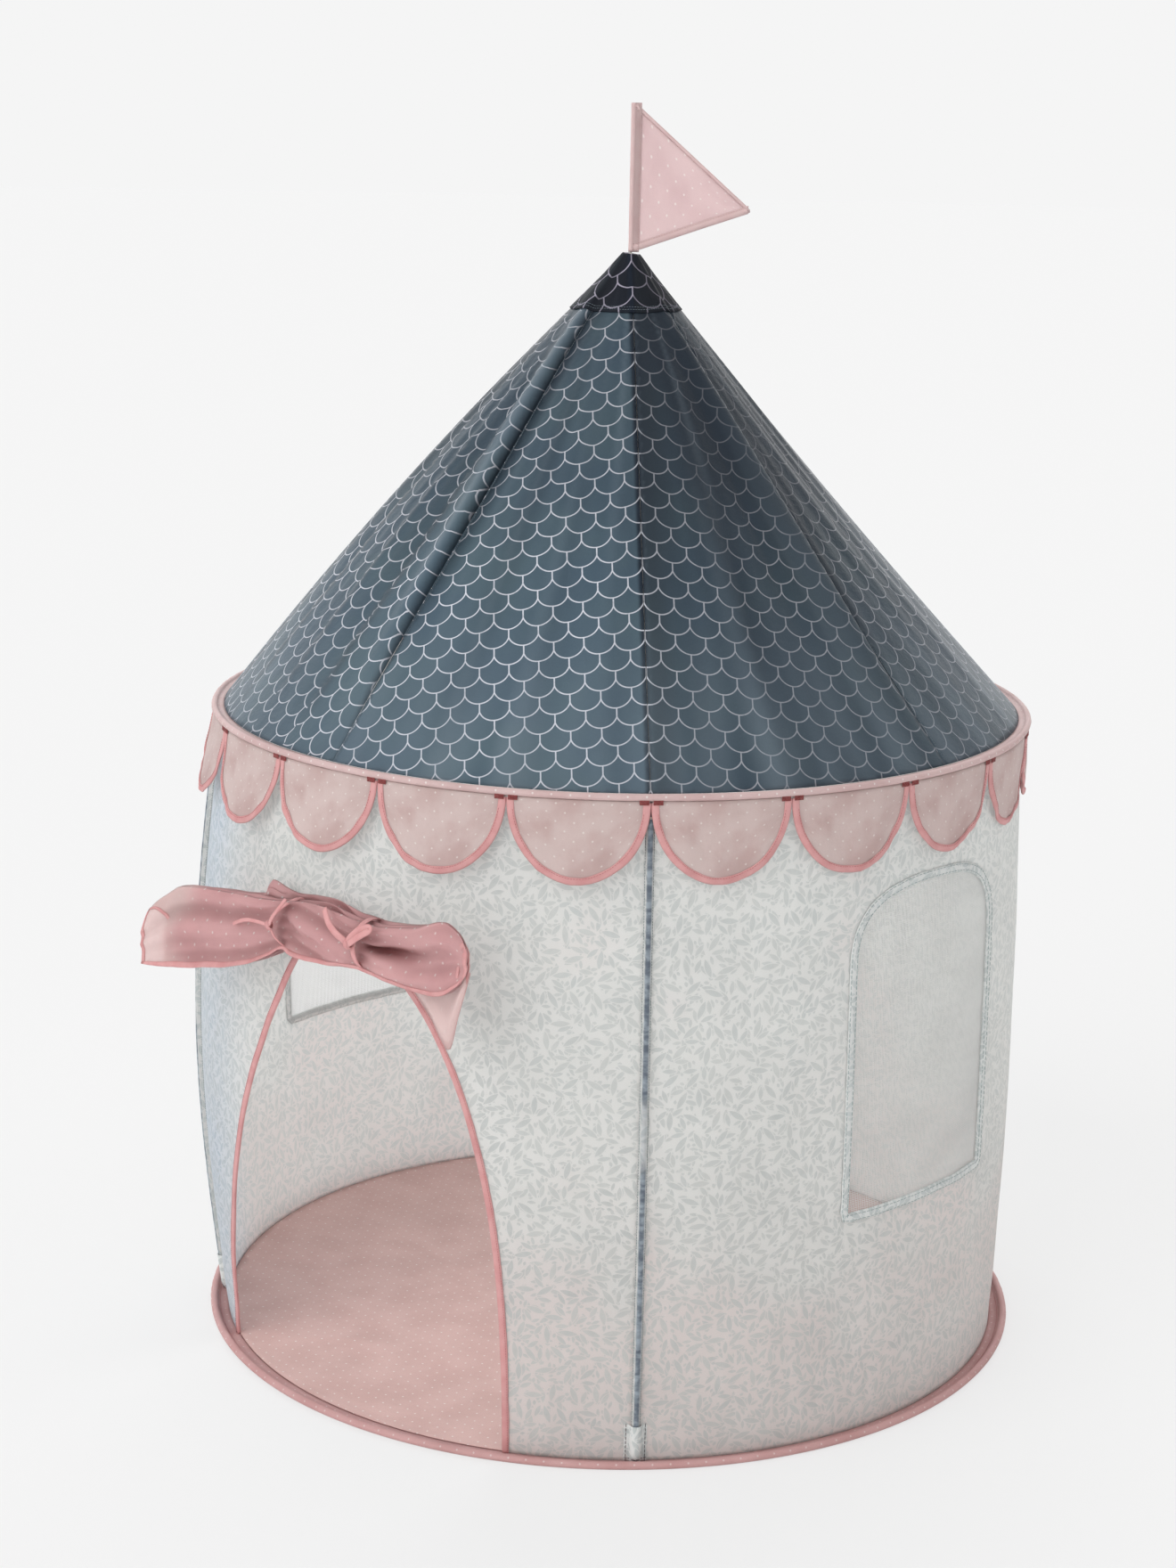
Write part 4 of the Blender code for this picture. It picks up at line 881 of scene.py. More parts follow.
def evenly(line, step, closed):
    # the same outline, in (metres, height), at even steps
    points = [Vector((a * metre, z)) for a, z in line]
    if closed:
        points.append(points[0])
    far = [0.0]
    for a, b in zip(points, points[1:]):
        far.append(far[-1] + (b - a).length)
    count = max(3, round(far[-1] / step))
    made, at = [], 0
    for i in range(count + (0 if closed else 1)):
        want = far[-1] * i / count
        while at < len(far) - 2 and far[at + 1] < want:
            at += 1
        share = (want - far[at]) / max(1e-9, far[at + 1] - far[at])
        made.append(points[at].lerp(points[at + 1], min(1.0, share)))
    return made


def windowLine(side, step):
    # a window's edge, and a place in its middle
    middle = window[side + "Middle"]
    return evenly(windowOutline(middle), step, True), Vector((middle * metre, window["middle"]))


def wallSheet(name, start, hole):
    middle = start + 45
    low = Vector(((start + wall["gap"]) * metre, wall["foot"]))
    high = Vector(((start + 90 - wall["gap"]) * metre, wall["head"]))
    step = wall["step"]
    wide, tall = high - low
    columns, rows = round(wide / step), round(tall / (step * rowRatio))
    outer = [(lerp(low.x, high.x, i / columns), low.y) for i in range(columns)]
    outer += [(high.x, lerp(low.y, high.y, j / rows)) for j in range(rows)]
    outer += [(lerp(high.x, low.x, i / columns), high.y) for i in range(columns)]
    outer += [(low.x, lerp(high.y, low.y, j / rows)) for j in range(rows)]
    lattice = []
    for j in range(1, rows):
        for i in range(columns):
            x = lerp(low.x, high.x, (i + 0.5 * (j % 2)) / columns)
            if x > low.x + step * 0.3:
                lattice.append((x, lerp(low.y, high.y, j / rows)))
    holes = [[tuple(p) for p in hole]] if hole else []

    def held(p):
        within = low.x < p.x < high.x and low.y < p.y < high.y
        return within and not any(inside(hole, p.x, p.y) for hole in holes)

    def surface(p):
        return wallPoint(p.x / metre, p.y)

    def uvAt(p, _):
        return (p.x - middle * metre + 0.41, p.y + 0.013 * (start % 7))

    def paintedBluishLight(p):
        # painted bluish light: the cloth is tinted bluer left of the door
        azimuth = (p.x / metre + 180) % 360 - 180
        side = smooth(-66, -50, azimuth) * smooth(-10, -34, azimuth)
        return min(1.0, max(0.0, side * (0.85 + 0.5 * waves(p.x * 7, p.y * 7, 4.2))))

    net = spread([outer] + holes, [], lattice, step * 0.55)
    made = cutCloth(name, net, held, surface, uvAt, "wall", {"cool": paintedBluishLight})
    weld(made)
    return thicken(made, wall["cloth"])


def makeWalls():
    line = evenly(doorOutline(), wall["holeStep"], False)
    doorHole = [Vector((line[0].x, -0.03))] + line + [Vector((line[-1].x, -0.03))]
    rightHole, leftHole = [windowLine(side, wall["holeStep"])[0] for side in ("right", "left")]
    rests = ["eave_hoop", "floor_hoop"]
    for name, start, hole, node, area in (
        ("doorWall", -45, doorHole, "door_wall", 0.36),
        ("rightWindowWall", 45, rightHole, "right_window_wall", 0.49),
        ("backWall", 135, None, "back_wall", None),
        ("leftWindowWall", -135, leftHole, "left_window_wall", 0.49),
    ):
        made = wallSheet(name, start, hole)
        finishSheet(made, "tent", "wall_cloth", [node], (0.775, 0.757), "stretched", rests, area=area)


makeWalls()
print("walls: done")


# Bindings, each a strip folded round a cut edge

seam = {
    "step": 0.0045,
    "skin": 0.0016,  # how far the strip stands out from the wall
    "fold": 0.0009,
    "cloth": 0.0006,
    "rows": (0.0014, 0.0084),  # stitches round a window, from its edge
}


def bindingRows(line, closed, width, centre, towards, surface, skin=seam["skin"]):
    # rows across the strip, from its front edge, round the fold, to its back edge
    count = len(line)
    normals = []
    for i, p in enumerate(line):
        before = line[(i - 1) % count] if closed or i else p
        after = line[(i + 1) % count] if closed or i < count - 1 else p
        along = (after - before).normalized()
        normal = Vector((-along.y, along.x))
        if normal.dot(p - centre) * towards < 0:
            normal = -normal
        normals.append(normal)
    section = [(width, 0.6), (width * 0.94, 1.0), (width * 0.55, 1.2), (width * 0.12, 1.0), (0.0, 0.7)]
    section += [(-seam["fold"], 0.0)] + [(deep, -out) for deep, out in section[::-1]]
    rows = []
    for deep, out in section:
        row = []
        for p, normal in zip(line, normals):
            uneven = 1 + 0.10 * waves(p.x * 60, p.y * 60, deep * 300)
            row.append(surface(p + normal * (deep * uneven), out * skin))
        rows.append(row)
    return rows, normals


def onWall(p, out=0.0):
    return wallPoint(p.x / metre, max(p.y, wall["foot"] + 0.0004), out)


def edgeStitches(line, normals, deep, thread, closed=False):
    path = [onWall(p + n * deep, seam["skin"] + seam["cloth"]) for p, n in zip(line, normals)]
    stitch(path + path[:1] if closed else path, thread)


def makeBindings():
    line = evenly(doorOutline(), seam["step"], False)
    centre = Vector((0, door["middle"]))
    rows, normals = bindingRows(line, False, door["binding"], centre, 1, onWall)
    made = strips("doorBinding", [rows], "rose", seam["cloth"])
    flat = (0.017, lengthOf(line))
    finishSheet(made, "tent", "binding", ["door_binding"], flat, "folded", ["doorWall"])
    edgeStitches(line, normals, door["binding"] * 0.8, "roseThread")
    for side in ("right", "left"):
        line, centre = windowLine(side, seam["step"])
        rows, normals = bindingRows(line, True, window["binding"], centre, 1, onWall)
        made = strips(side + "WindowBinding", [rows], "edge", seam["cloth"], closed=True)
        node, rests = side + "_window_binding", side + "WindowWall"
        flat = (0.0235, lengthOf(line + line[:1]))
        finishSheet(made, "tent", "wall_cloth", [node], flat, "folded", [rests])
        for deep in seam["rows"]:
            edgeStitches(line, normals, deep, "greyThread", closed=True)


makeBindings()
print("bindings: done")

net = {"pitch": 0.0021, "thread": 0.00034, "behind": 0.0029, "seam": 0.006}


def makeNet(side):
    # threads across and down, each ending under the binding
    line, centre = windowLine(side, 0.004)
    loop = [tuple(p + (p - centre).normalized() * net["seam"]) for p in line]
    pairs = list(zip(loop, loop[1:] + loop[:1]))
    lows, highs = [[most(p[i] for p in loop) for i in (0, 1)] for most in (min, max)]
    threads = []
    for way in (0, 1):
        out = -net["behind"] - (0.0003 if way else -0.0003)
        at = lows[way] + net["pitch"] / 2
        while at < highs[way]:
            ends = []
            for a, b in pairs:
                if (a[way] > at) != (b[way] > at):
                    share = (at - a[way]) / (b[way] - a[way])
                    ends.append(lerp(a[1 - way], b[1 - way], share))
            ends.sort()
            for low, high in zip(ends[::2], ends[1::2]):
                count = max(2, round((high - low) / 0.009))
                run = [lerp(low, high, i / count) for i in range(count + 1)]
                flat = [(at, other) if way == 0 else (other, at) for other in run]
                threads.append([wallPoint(x / metre, z, out) for x, z in flat])
            at += net["pitch"]
    made = grow(side + "WindowNet", threads, threadNet, {"Thread": net["thread"], "Material": cloths["net"]})
    area = abs(sum((a[0] * b[1] - b[0] * a[1]) / 2 for a, b in pairs))
    flat = (highs[0] - lows[0], highs[1] - lows[1])
    node, rests = side + "_window_net", side + "WindowBinding"
    finishSheet(made, "tent", "net", [node], flat, "stretched", [rests], area=area)


makeNet("right")
makeNet("left")
print("nets: done")


# Poles' sleeves and pockets

sleeve = {
    "axis": 0.0044,
    "radius": 0.0037,
    "low": 0.044,
    "high": 0.736,
    "width": 0.0050,
    "cloth": 0.0005,
}
pocket = {"half": 0.0125, "high": 0.0469, "reach": 0.0068, "seam": 0.0065, "cloth": 0.0006}
poleAzimuths = {"front_left": -45.0, "front_right": 45.0, "back_right": 135.0, "back_left": 225.0}


def makeSleeve(which, azimuth):
    side, out = sideways(azimuth), outward(azimuth)
    wide, size = sleeve["width"], sleeve["radius"]
    edge = [(-wide, 0.0010), (-wide * 0.86, 0.0013)]
    section = list(edge)
    for k in range(9):
        turn = math.radians(200 - 27.5 * k)
        section.append((size * math.cos(turn), sleeve["axis"] + size * math.sin(turn)))
    section += [(-s, n) for s, n in edge[::-1]]
    rows = []
    for height in steps(sleeve["low"], sleeve["high"], 150):
        base = wallPoint(azimuth, height)
        row = []
        for k, (s, n) in enumerate(section):
            uneven = 0.00035 * waves(height * 60, k * 0.8, azimuth) * (1 if n > 0.002 else 0.2)
            row.append(base + side * (s + uneven * 0.4) + out * (n + max(uneven, -0.0001)))
        rows.append(row)
    made = strips("poleSleeve." + which, [rows], "sleeve", sleeve["cloth"])
    node, rests = "pole_sleeve_" + which, "wall_pole_" + which
    finishSheet(made, "tent", "wall_cloth", [node], (0.0235, 0.70), "stretched", [rests])
    for s in (-1, 1):
        heights = steps(sleeve["low"], sleeve["high"], 60)
        stitch([wallPoint(azimuth, z, 0.0016) + side * s * wide * 0.93 for z in heights], "darkThread")


def makePocket(which, azimuth):
    side, out = sideways(azimuth), outward(azimuth)

    def dome(s, height):
        # 1 over the pole's foot, and drawn in where the pocket is sewn shut
        over = math.sqrt(max(0.0, 1 - (abs(s) / pocket["reach"]) ** 2.4))
        return smooth(-0.004, 0.010, height) * over

    rows = []
    for height in steps(0.0026, pocket["high"], 16):
        base = wallPoint(azimuth, height)
        row = []
        for s in steps(-pocket["half"], pocket["half"], 32):
            bump = 0.0078 * dome(s, height)
            crease = 0.0003 * waves(s * 300, height * 120, azimuth * 0.1)
            row.append(base + side * s + out * (0.0014 + bump + crease * (1 if bump else 0.3)))
        rows.append(row)
    made = strips("polePocket." + which, [rows], "edge", pocket["cloth"])
    node, rests = "pole_pocket_" + which, "pole_foot_cap_" + which
    finishSheet(made, "tent", "wall_cloth", [node], (0.034, 0.047), "stretched", [rests])
    edge = pocket["half"] - 0.0018
    for s in (-edge, edge):
        heights = steps(0.004, pocket["high"] - 0.001, 10)
        stitch([wallPoint(azimuth, z, 0.0020) + side * s for z in heights], "pocketThread")
    across = steps(-edge, edge, 24)
    low = pocket["seam"]
    path = [wallPoint(azimuth, low, 0.0022 + 0.0076 * dome(s, low)) + side * s for s in across]
    stitch(path, "pocketThread")


for which, azimuth in poleAzimuths.items():
    makeSleeve(which, azimuth)
    makePocket(which, azimuth)
print("sleeves and pockets: done")


# Hoop channels and groundsheet

floorChannel = {"middle": (0.4955, 0.0046), "radius": 0.0042, "inner": 0.4745, "cloth": 0.0007}
eaveChannel = {"middle": (0.4862, 0.7598), "radius": 0.0036, "inner": 0.4745, "cloth": 0.0006}
ground = {"radius": 0.4763, "span": 0.49, "step": 0.0085, "count": 350, "cloth": 0.0009}


def roundRows(section, point, around=900):
    # rows round the tent, one for each radius and height of the section
    rows = []
    for k, (radius, height) in enumerate(section):
        rows.append([point(360 * i / around, k, radius, height) for i in range(around)])
    return rows


def makeFloorChannel():
    (r, z), size, inner = floorChannel["middle"], floorChannel["radius"], floorChannel["inner"]
    section = [(inner, 0.0005), (0.482, 0.0005), (0.489, 0.0005)]
    turns = [math.radians(4 + 18.5 * k) for k in range(15)]
    section += [(r + size * math.sin(t), z - size * math.cos(t)) for t in turns]
    section += [(0.489, 0.0020), (0.482, 0.0018), (inner, 0.0017)]

    def point(azimuth, k, radius, height):
        pucker = 0.00035 * waves(azimuth * 1.1, k * 0.25, 4.4) * smooth(0.001, 0.006, height)
        return place(azimuth, radius + pucker, max(0.0005, height + pucker))

    rows = roundRows(section, point)
    made = strips("floorChannel", [rows], "floorEdge", floorChannel["cloth"], closed=True)
    rests = ["floor_hoop"]
    finishSheet(made, "tent", "trim_cloth", ["floor_hoop_channel"], (3.11, 0.064), "stretched", rests)
    stitch([place(a / 2, 0.4885, 0.0027) for a in range(0, 721)], "roseThread")


def makeEaveChannel():
    (r, z), size, inner = eaveChannel["middle"], eaveChannel["radius"], eaveChannel["inner"]
    section = [(inner, z - 0.0006), (0.479, z - 0.0006)]
    turns = [math.radians(12 + 24 * k) for k in range(15)]
    section += [(r - size * math.cos(t), z - size * math.sin(t)) for t in turns]
    section += [(0.479, z + 0.0006), (inner, z + 0.0006)]

    def point(azimuth, k, radius, height):
        pucker = 0.0004 * waves(azimuth * 0.9, k * 0.3, 8.8) * smooth(0.48, 0.486, radius)
        return place(azimuth, radius + pucker, height + pucker * 0.6)

    rows = roundRows(section, point)
    made = strips("eaveChannel", [rows], "channel", eaveChannel["cloth"], closed=True)
    rests = ["eave_hoop"]
    finishSheet(made, "tent", "trim_cloth", ["eave_hoop_channel"], (3.05, 0.037), "stretched", rests)


def makeGroundsheet():
    radius, span, step = ground["radius"], ground["span"], ground["step"]

    def surface(p):
        far = math.hypot(p.x, p.y)
        free = smooth(0.0, 0.05, radius - far)
        ridge = 1 - abs(waves(p.x * 5.5, p.y * 5.5, 2.2)) * 2.2
        soft = 0.5 + 0.5 * waves(p.x * 9, p.y * 9, 6.1)
        lift = 0.0034 * max(0.0, ridge) ** 2 + 0.0016 * soft
        seated = 0.00055 + 0.0024 * smooth(0.467, 0.4735, far)  # its edge lies on the channel's flange
        return Vector((p.x, p.y, seated + free * lift))

    def uvAt(p, _):
        return (p.x * 0.8 + p.y * 0.6, p.y * 0.8 - p.x * 0.6)

    lattice = []
    count = round(2 * span / step) + 1
    for j in range(count):
        for i in range(count):
            p = Vector((-span + (i + 0.5 * (j % 2)) * step, -span + j * step * rowRatio * 1.15))
            if p.length < radius - step * 0.5:
                lattice.append(p)
    net = spread([circle(radius, ground["count"])], [], lattice, 0.0)
    made = cutCloth("groundsheetCloth", net, lambda p: True, surface, uvAt, "floor")
    thicken(made, ground["cloth"])
    rests = ["floorChannel"]
    finishSheet(made, "tent", "floor_cloth", ["groundsheet"], (0.953, 0.953), "laid", rests, area=0.7127)


makeFloorChannel()
makeEaveChannel()
makeGroundsheet()
print("channels and groundsheet: done")


# Roof

roof = {
    "foot": (0.475, 0.7614),
    "peak": (0.0095, 1.288),
    "normal": (0.7492, 0.6623),
    "slant": 0.7029,
    "tip": 0.0141,  # from the cone's own tip to the cloth, along it
    "fan": 0.6757,  # a turn of the unrolled cone, as a share of a turn of the tent
    "bows": (0.016, 0.001, -0.008, 0.005),
    "sag": 0.005,
    "pleat": 0.0030,
    "step": 0.0052,
    "creases": (-33.0, -21.5, -11.0),  # azimuths of the sharp folds on the left front
    "jumps": (0.009, 0.006, 0.011),  # how much of the print each of them hides
    "cap": 0.885,
    "cloth": 0.0008,
    # azimuth of each seam, height of the pleat on its left, and painted shade beside it
    "seams": ((0.0, 0.0085, 0.75), (90.0, 0.0060, 0.6), (180.0, 0.005, 0.5), (270.0, 0.005, 0.5)),
    # azimuth, width and painted shade beside each sharp fold
    "creaseShades": ((-32.4, 0.9, 0.45), (-20.9, 0.8, 0.3), (-10.4, 1.0, 0.4)),
}


def pleatPlace(turn, share):
    # metres from a seam to its right
    return math.radians(turn) * lerp(roof["foot"][0], roof["peak"][0] + 0.02, share)


def roofFold(azimuth, share):
    # sharp radial folds, and softer ones between the poles
    made = 0.0
    azimuth = (azimuth + 80) % 360 - 80
    for k, at in enumerate(roof["creases"]):
        d = azimuth - at
        step = 0.0019 * (1 - smooth(0, 7, d)) if d > 0 else -0.0007 * bell(d, 3.0)
        made += step * smooth(0.02, 0.25, share) * (1 if k != 1 else 0.6)
    for at, high, _ in roof["seams"]:
        d = pleatPlace(azimuth - at, share)
        made += high * smooth(-0.040, -0.013, d) * (1 - smooth(-0.0075, 0.0005, d)) * smooth(0.0, 0.35, share)
        made -= 0.0018 * bell(d - 0.003, 0.005) * smooth(0.0, 0.35, share)
    soft = waves(azimuth * 0.10, share * 1.3, 2.0) + 0.55 * waves(azimuth * 0.22, share * 2.6, 7.0)
    pull = bell((azimuth + 360) % 45 - 22.5, 14) * waves(azimuth * 0.35, share * 0.8, 11.0)
    return made + 0.0038 * (soft + 0.5 * pull) * max(0.0, math.sin(math.pi * share)) ** 0.7


def roofPaintedShade(azimuth, share):
    # painted shade: in the creases and beside the seams above all, on the sides turned away from the light,
    # towards the peak, and in broad soft patches
    made = 0.0
    azimuth = (azimuth + 80) % 360 - 80
    for at, _, paintedShade in roof["seams"]:
        d = pleatPlace(azimuth - at, share)
        made = max(made, paintedShade * bell(d + 0.0015, 0.0032) * smooth(0.0, 0.15, share))
        beside = smooth(-0.002, 0.002, d) * (1 - smooth(0.002, 0.026, d))
        made = max(made, 0.6 * paintedShade * beside * smooth(0.1, 0.4, share))
    for at, wide, paintedShade in roof["creaseShades"]:
        ends = smooth(0.0, 0.15, share) * smooth(0.75, 0.45, share)
        made = max(made, paintedShade * bell(azimuth - at, wide * (1 + share)) * ends)
    # painted shade on the sides turned away from the light: right of the front pole, and on the far left
    side = (0.42 * smooth(44.9, 46.2, azimuth) + 0.18 * smooth(50, 70, azimuth)) * smooth(150, 122, azimuth)
    side += 0.16 * smooth(-2, -25, azimuth) * smooth(-79, -60, azimuth)
    broad = 0.22 * max(0.0, waves(azimuth * 0.16, share * 1.1, 6.0)) + side
    # painted shade towards the peak
    broad += 0.26 * smooth(0.30, 0.62, share) + 0.12 * smooth(0.6, 0.9, share)
    return min(0.88, made + broad)


def roofPaintedHighlight(azimuth, share):
    # painted highlight: on the pleat beside the seam, towards the eave, and in broad soft patches
    d = pleatPlace(azimuth, share)
    made = 0.42 * bell(d + 0.017, 0.0075) * smooth(0.15, 0.5, share)
    made += 0.30 * smooth(0.38, 0.02, share) * (0.6 + 0.9 * waves(azimuth * 0.2, share * 2, 3.0))
    made += 0.20 * max(0.0, waves(azimuth * 0.22, share * 1.2, 15.0))
    return min(0.6, max(0.0, made))


def roofPoint(azimuth, share, out=0.0):
    swell = math.sin(math.pi * min(1.0, max(0.0, share)))
    fromSeam = (azimuth + 45) % 90 - 45
    bow = betweenPoles(roof["bows"], azimuth, roof["sag"]) + roof["pleat"] * bell(fromSeam, 6)
    lift = roofFold(azimuth, share) * smooth(0.5, 5, fromPole(azimuth))
    narrow = min(1.0, (1 - share) * 3 + 0.06)  # folds flatten towards the peak
    step = out + lift * narrow
    radius = lerp(roof["foot"][0], roof["peak"][0], share) + bow * swell + step * roof["normal"][0]
    height = lerp(roof["foot"][1], roof["peak"][1], share) + step * roof["normal"][1]
    return place(azimuth, max(radius, 0.004), height)


def tilePlace(azimuth, share, pole, jump=0.0):
    # the print's place: 0 across at the pole, and rows that fall away on both sides of it
    along = (1 - share) * roof["slant"] + roof["tip"]
    angle = math.radians(azimuth - pole) * roof["fan"]
    across = along * math.sin(angle)
    fall = math.tan(math.radians(lerp(15.5, 5.0, min(1.0, along / 0.7))))
    return across + jump, 0.759 - along * math.cos(angle) + abs(across) * fall * bell(across, 0.16)


def makeGore(number):
    start = number * 45.0
    middle = start + 22.5
    pole = start + 45 if number % 2 == 0 else start
    top, bottom = roof["tip"], roof["slant"] + roof["tip"]
    wide = math.radians(22.5) * roof["fan"]
    inset, step = 0.0004, roof["step"]

    def flat(along, turn, shift=0.0):
        return along * math.sin(turn) + shift, -along * math.cos(turn)

    def back(p):
        azimuth = math.degrees(math.atan2(p.x, -p.y)) / roof["fan"] + middle
        return azimuth, 1 - (math.hypot(p.x, p.y) - top) / roof["slant"]

    def surface(p):
        return roofPoint(*back(p))

    def uvAt(p, faceMiddle):
        # the print jumps at each sharp fold, which hides some of it
        jump = 0.0
        if number == 7:
            faceAzimuth = back(faceMiddle)[0] - 360
            jump = sum(hidden for at, hidden in zip(roof["creases"], roof["jumps"]) if faceAzimuth > at)
        return tilePlace(*back(p), pole, jump)

    def shown(p):
        azimuth, share = back(p)
        return (azimuth - 360 if azimuth > 300 else azimuth), share

    outline = [flat(bottom, turn) for turn in steps(-wide, wide, 72)]
    outline += [flat(along, wide, -inset) for along in steps(bottom, top, 135)[1:]]
    outline += [flat(top, turn) for turn in steps(wide, -wide, 4)[1:-1]]
    outline += [flat(along, -wide, inset) for along in steps(top, bottom, 135)[:-1]]
    creases = []
    for at in roof["creases"]:
        if start - 360 < at < start - 315:
            turn = math.radians(at + 360 - middle) * roof["fan"]
            creases.append([flat(along, turn) for along in steps(0.05, bottom, 120)[:-1]])
    rows = range(round(bottom / (step * rowRatio)))
    columns = range(-40, 41)
    lattice = [((i + 0.5 * (j % 2)) * step, -j * step * rowRatio) for j in rows for i in columns]
    lattice = [p for p in lattice if inside(outline, *p)]
    net = spread([outline], creases, lattice, step * 0.55)
    # painted shade and painted highlight, laid on the roof's points
    marks = {"shade": lambda p: roofPaintedShade(*shown(p)), "light": lambda p: roofPaintedHighlight(*shown(p))}
    name, node = f"roofGore{number + 1}", f"roof_gore_{number + 1}"
    made = cutCloth(name, net, lambda p: inside(outline, p.x, p.y), surface, uvAt, "slate", marks)
    thicken(made, roof["cloth"])
    rests = ["eave_hoop", "apex_hub"]
    finishSheet(made, "tent", "roof_cloth", [node], (0.378, 0.716), "stretched", rests, area=0.1375)


def makeRoof():
    for number in range(8):
        makeGore(number)
    for azimuth, _, _ in roof["seams"]:
        stitch([roofPoint(azimuth + 0.35, j / 140 * 0.87 + 0.01, 0.0008) for j in range(141)], "darkThread")


cap = {"around": 240, "rows": 26, "height": 1.2898, "hole": 0.0043}


def makeCap():
    around, points, faces, uvs = cap["around"], [], [], []
    levels = steps(roof["cap"], 0.999, cap["rows"])
    each = 360 / around
    for share in levels:
        for i in range(around):
            crease = 0.0003 * waves(i * 0.18, share * 20, 3.0)
            lean = 0.0045 * (0.5 + 0.5 * math.cos(math.radians(each * i + 49))) * smooth(0.93, 1.0, share)
            p = roofPoint(each * i, share + lean, 0.0014 + crease)
            p.z += 0.0018 * smooth(0.95, 1.0, share)
            points.append(p)
    rim = points[-around:]  # from here the cap closes round the flag's rod
    for j in (1, 2, 3):
        for i, p in enumerate(rim):
            flat = Vector((p.x, p.y, 0))
            spot = flat.normalized() * lerp(flat.length, cap["hole"], j / 3)
            points.append(Vector((spot.x, spot.y, lerp(p.z, cap["height"], min(1, j / 2)))))
    levels += [1.002, 1.006, 1.010]
    for j in range(len(levels) - 1):
        for i in range(around):
            k = (i + 1) % around
            faces.append((j * around + i, j * around + k, (j + 1) * around + k, (j + 1) * around + i))
            a, b = each * i, each * (i + 1)
            pole = 90 * math.floor((a + b) / 180) + 45
            corners = ((a, levels[j]), (b, levels[j]), (b, levels[j + 1]), (a, levels[j + 1]))
            uvs.append([tilePlace(a, share, pole) for a, share in corners])
    # painted shade on the cap, as on the roof below it
    paintedShades = [0.8 * roofPaintedShade((each * (k % around) + 60) % 360 - 60, 0.9) for k in range(len(points))]
    made = thicken(addMesh("peakCap", points, faces, uvs, "navy", {"shade": paintedShades}), roof["cloth"])
    rests = ["apex_hub"]
    finishSheet(made, "tent", "roof_cloth", ["peak_cap"], (0.26, 0.09), "stretched", rests, area=0.0128)
    for share in (roof["cap"] + 0.006, roof["cap"] + 0.011):
        stitch([roofPoint(each * i, share, 0.0019) for i in range(around + 1)], "darkThread")


makeRoof()
makeCap()
print("roof: done")


# Valance

valance = {
    "radius": 0.487,
    "top": 0.7551,
    "depth": 0.087,
    "scallops": 20,
    "binding": 0.0068,
    "gap": 0.0022,
    "clear": 0.0042,  # least distance outside the wall
    "flare": (0.008, 0.011),  # how far the scallops stand out, and how much that varies
    "cloth": 0.0008,
    "trim": 0.0005,
}
valance["pitch"] = 360 / valance["scallops"]


def valanceRadius(azimuth, height):
    deep = max(0.0, (valance["top"] - height) / valance["depth"])
    flare = valance["flare"][0] + valance["flare"][1] * math.cos(math.radians(azimuth + 49))
    free = valance["radius"] + flare * deep**1.3
    crease = 0.0034 * waves(azimuth * 0.36, height * 12, 3.9)
    crease += 0.0018 * waves(azimuth * 0.95, height * 24, 8.1)
    free += crease * min(1.0, deep * 1.6)
    return max(free, wallRadius(azimuth, height) + wallWrinkle(azimuth, height) + valance["clear"])


def onValance(p, out=0.0):
    azimuth = p.x / metre
    return place(azimuth, valanceRadius(azimuth, p.y) + out, p.y)


def scallop(number, turn):
    # a place on a scallop's edge: its azimuth, and how far it hangs, from -90 degrees to 90
    half = valance["pitch"] / 2 - math.degrees(valance["gap"] / 2 / valance["radius"])
    uneven = 1 + 0.016 * waves(number * 3.1, turn * 1.6, 5.0) * math.cos(turn)
    return number * valance["pitch"] + half * math.sin(turn), math.cos(turn) * uneven


def makeValance():
    across, down = 26, 15
    radius, top, depth = valance["radius"], valance["top"], valance["depth"]
    sets, bindings, length = [], [], 0.0
    for number in range(valance["scallops"]):
        ends = [scallop(number, math.pi * (i / across - 0.5)) for i in range(across + 1)]
        rows = [[place(azimuth, radius - inner, top) for azimuth, _ in ends] for inner in (0.006, 0.001)]
        for j in range(down + 1):
            heights = [(azimuth * metre, top - depth * (j / down) * hang - 0.0002) for azimuth, hang in ends]
            rows.append([onValance(Vector(p)) for p in heights])
        sets.append(rows)
        edge = [scallop(number, math.pi * (i / 60 - 0.5)) for i in range(61)]
        edge = [(azimuth, top - 0.001 - depth * hang) for azimuth, hang in edge]
        line = evenly(edge, seam["step"], False)
        length += lengthOf(line)
        centre = Vector((number * valance["pitch"] * metre, top))
        rows, normals = bindingRows(line, False, valance["binding"], centre, -1, onValance, skin=0.0012)
        bindings.append(rows)
        inner = list(zip(line, normals))[3:-3]
        stitch([onValance(p + n * valance["binding"] * 0.82, 0.0018) for p, n in inner], "roseThread")
    made = strips("valanceCloth", sets, "pink", 0)
    weld(made, 2e-5)
    thicken(made, valance["cloth"])
    trim = strips("valanceBinding", bindings, "rose", valance["trim"])
    finishSheet(trim, "tent", "binding", [], (0.018, length), "folded", ["valanceCloth"])
    given = {"area": 0.226, "withPieces": [trim]}
    rests = ["eave_hoop_channel"]
    finishSheet(made, "tent", "valance_cloth", ["valance"], (3.06, 0.094), "hung", rests, **given)


tacks = {"beside": 0.0072, "half": 0.0050, "rows": 7, "pitch": 0.0007, "thread": 0.00042}


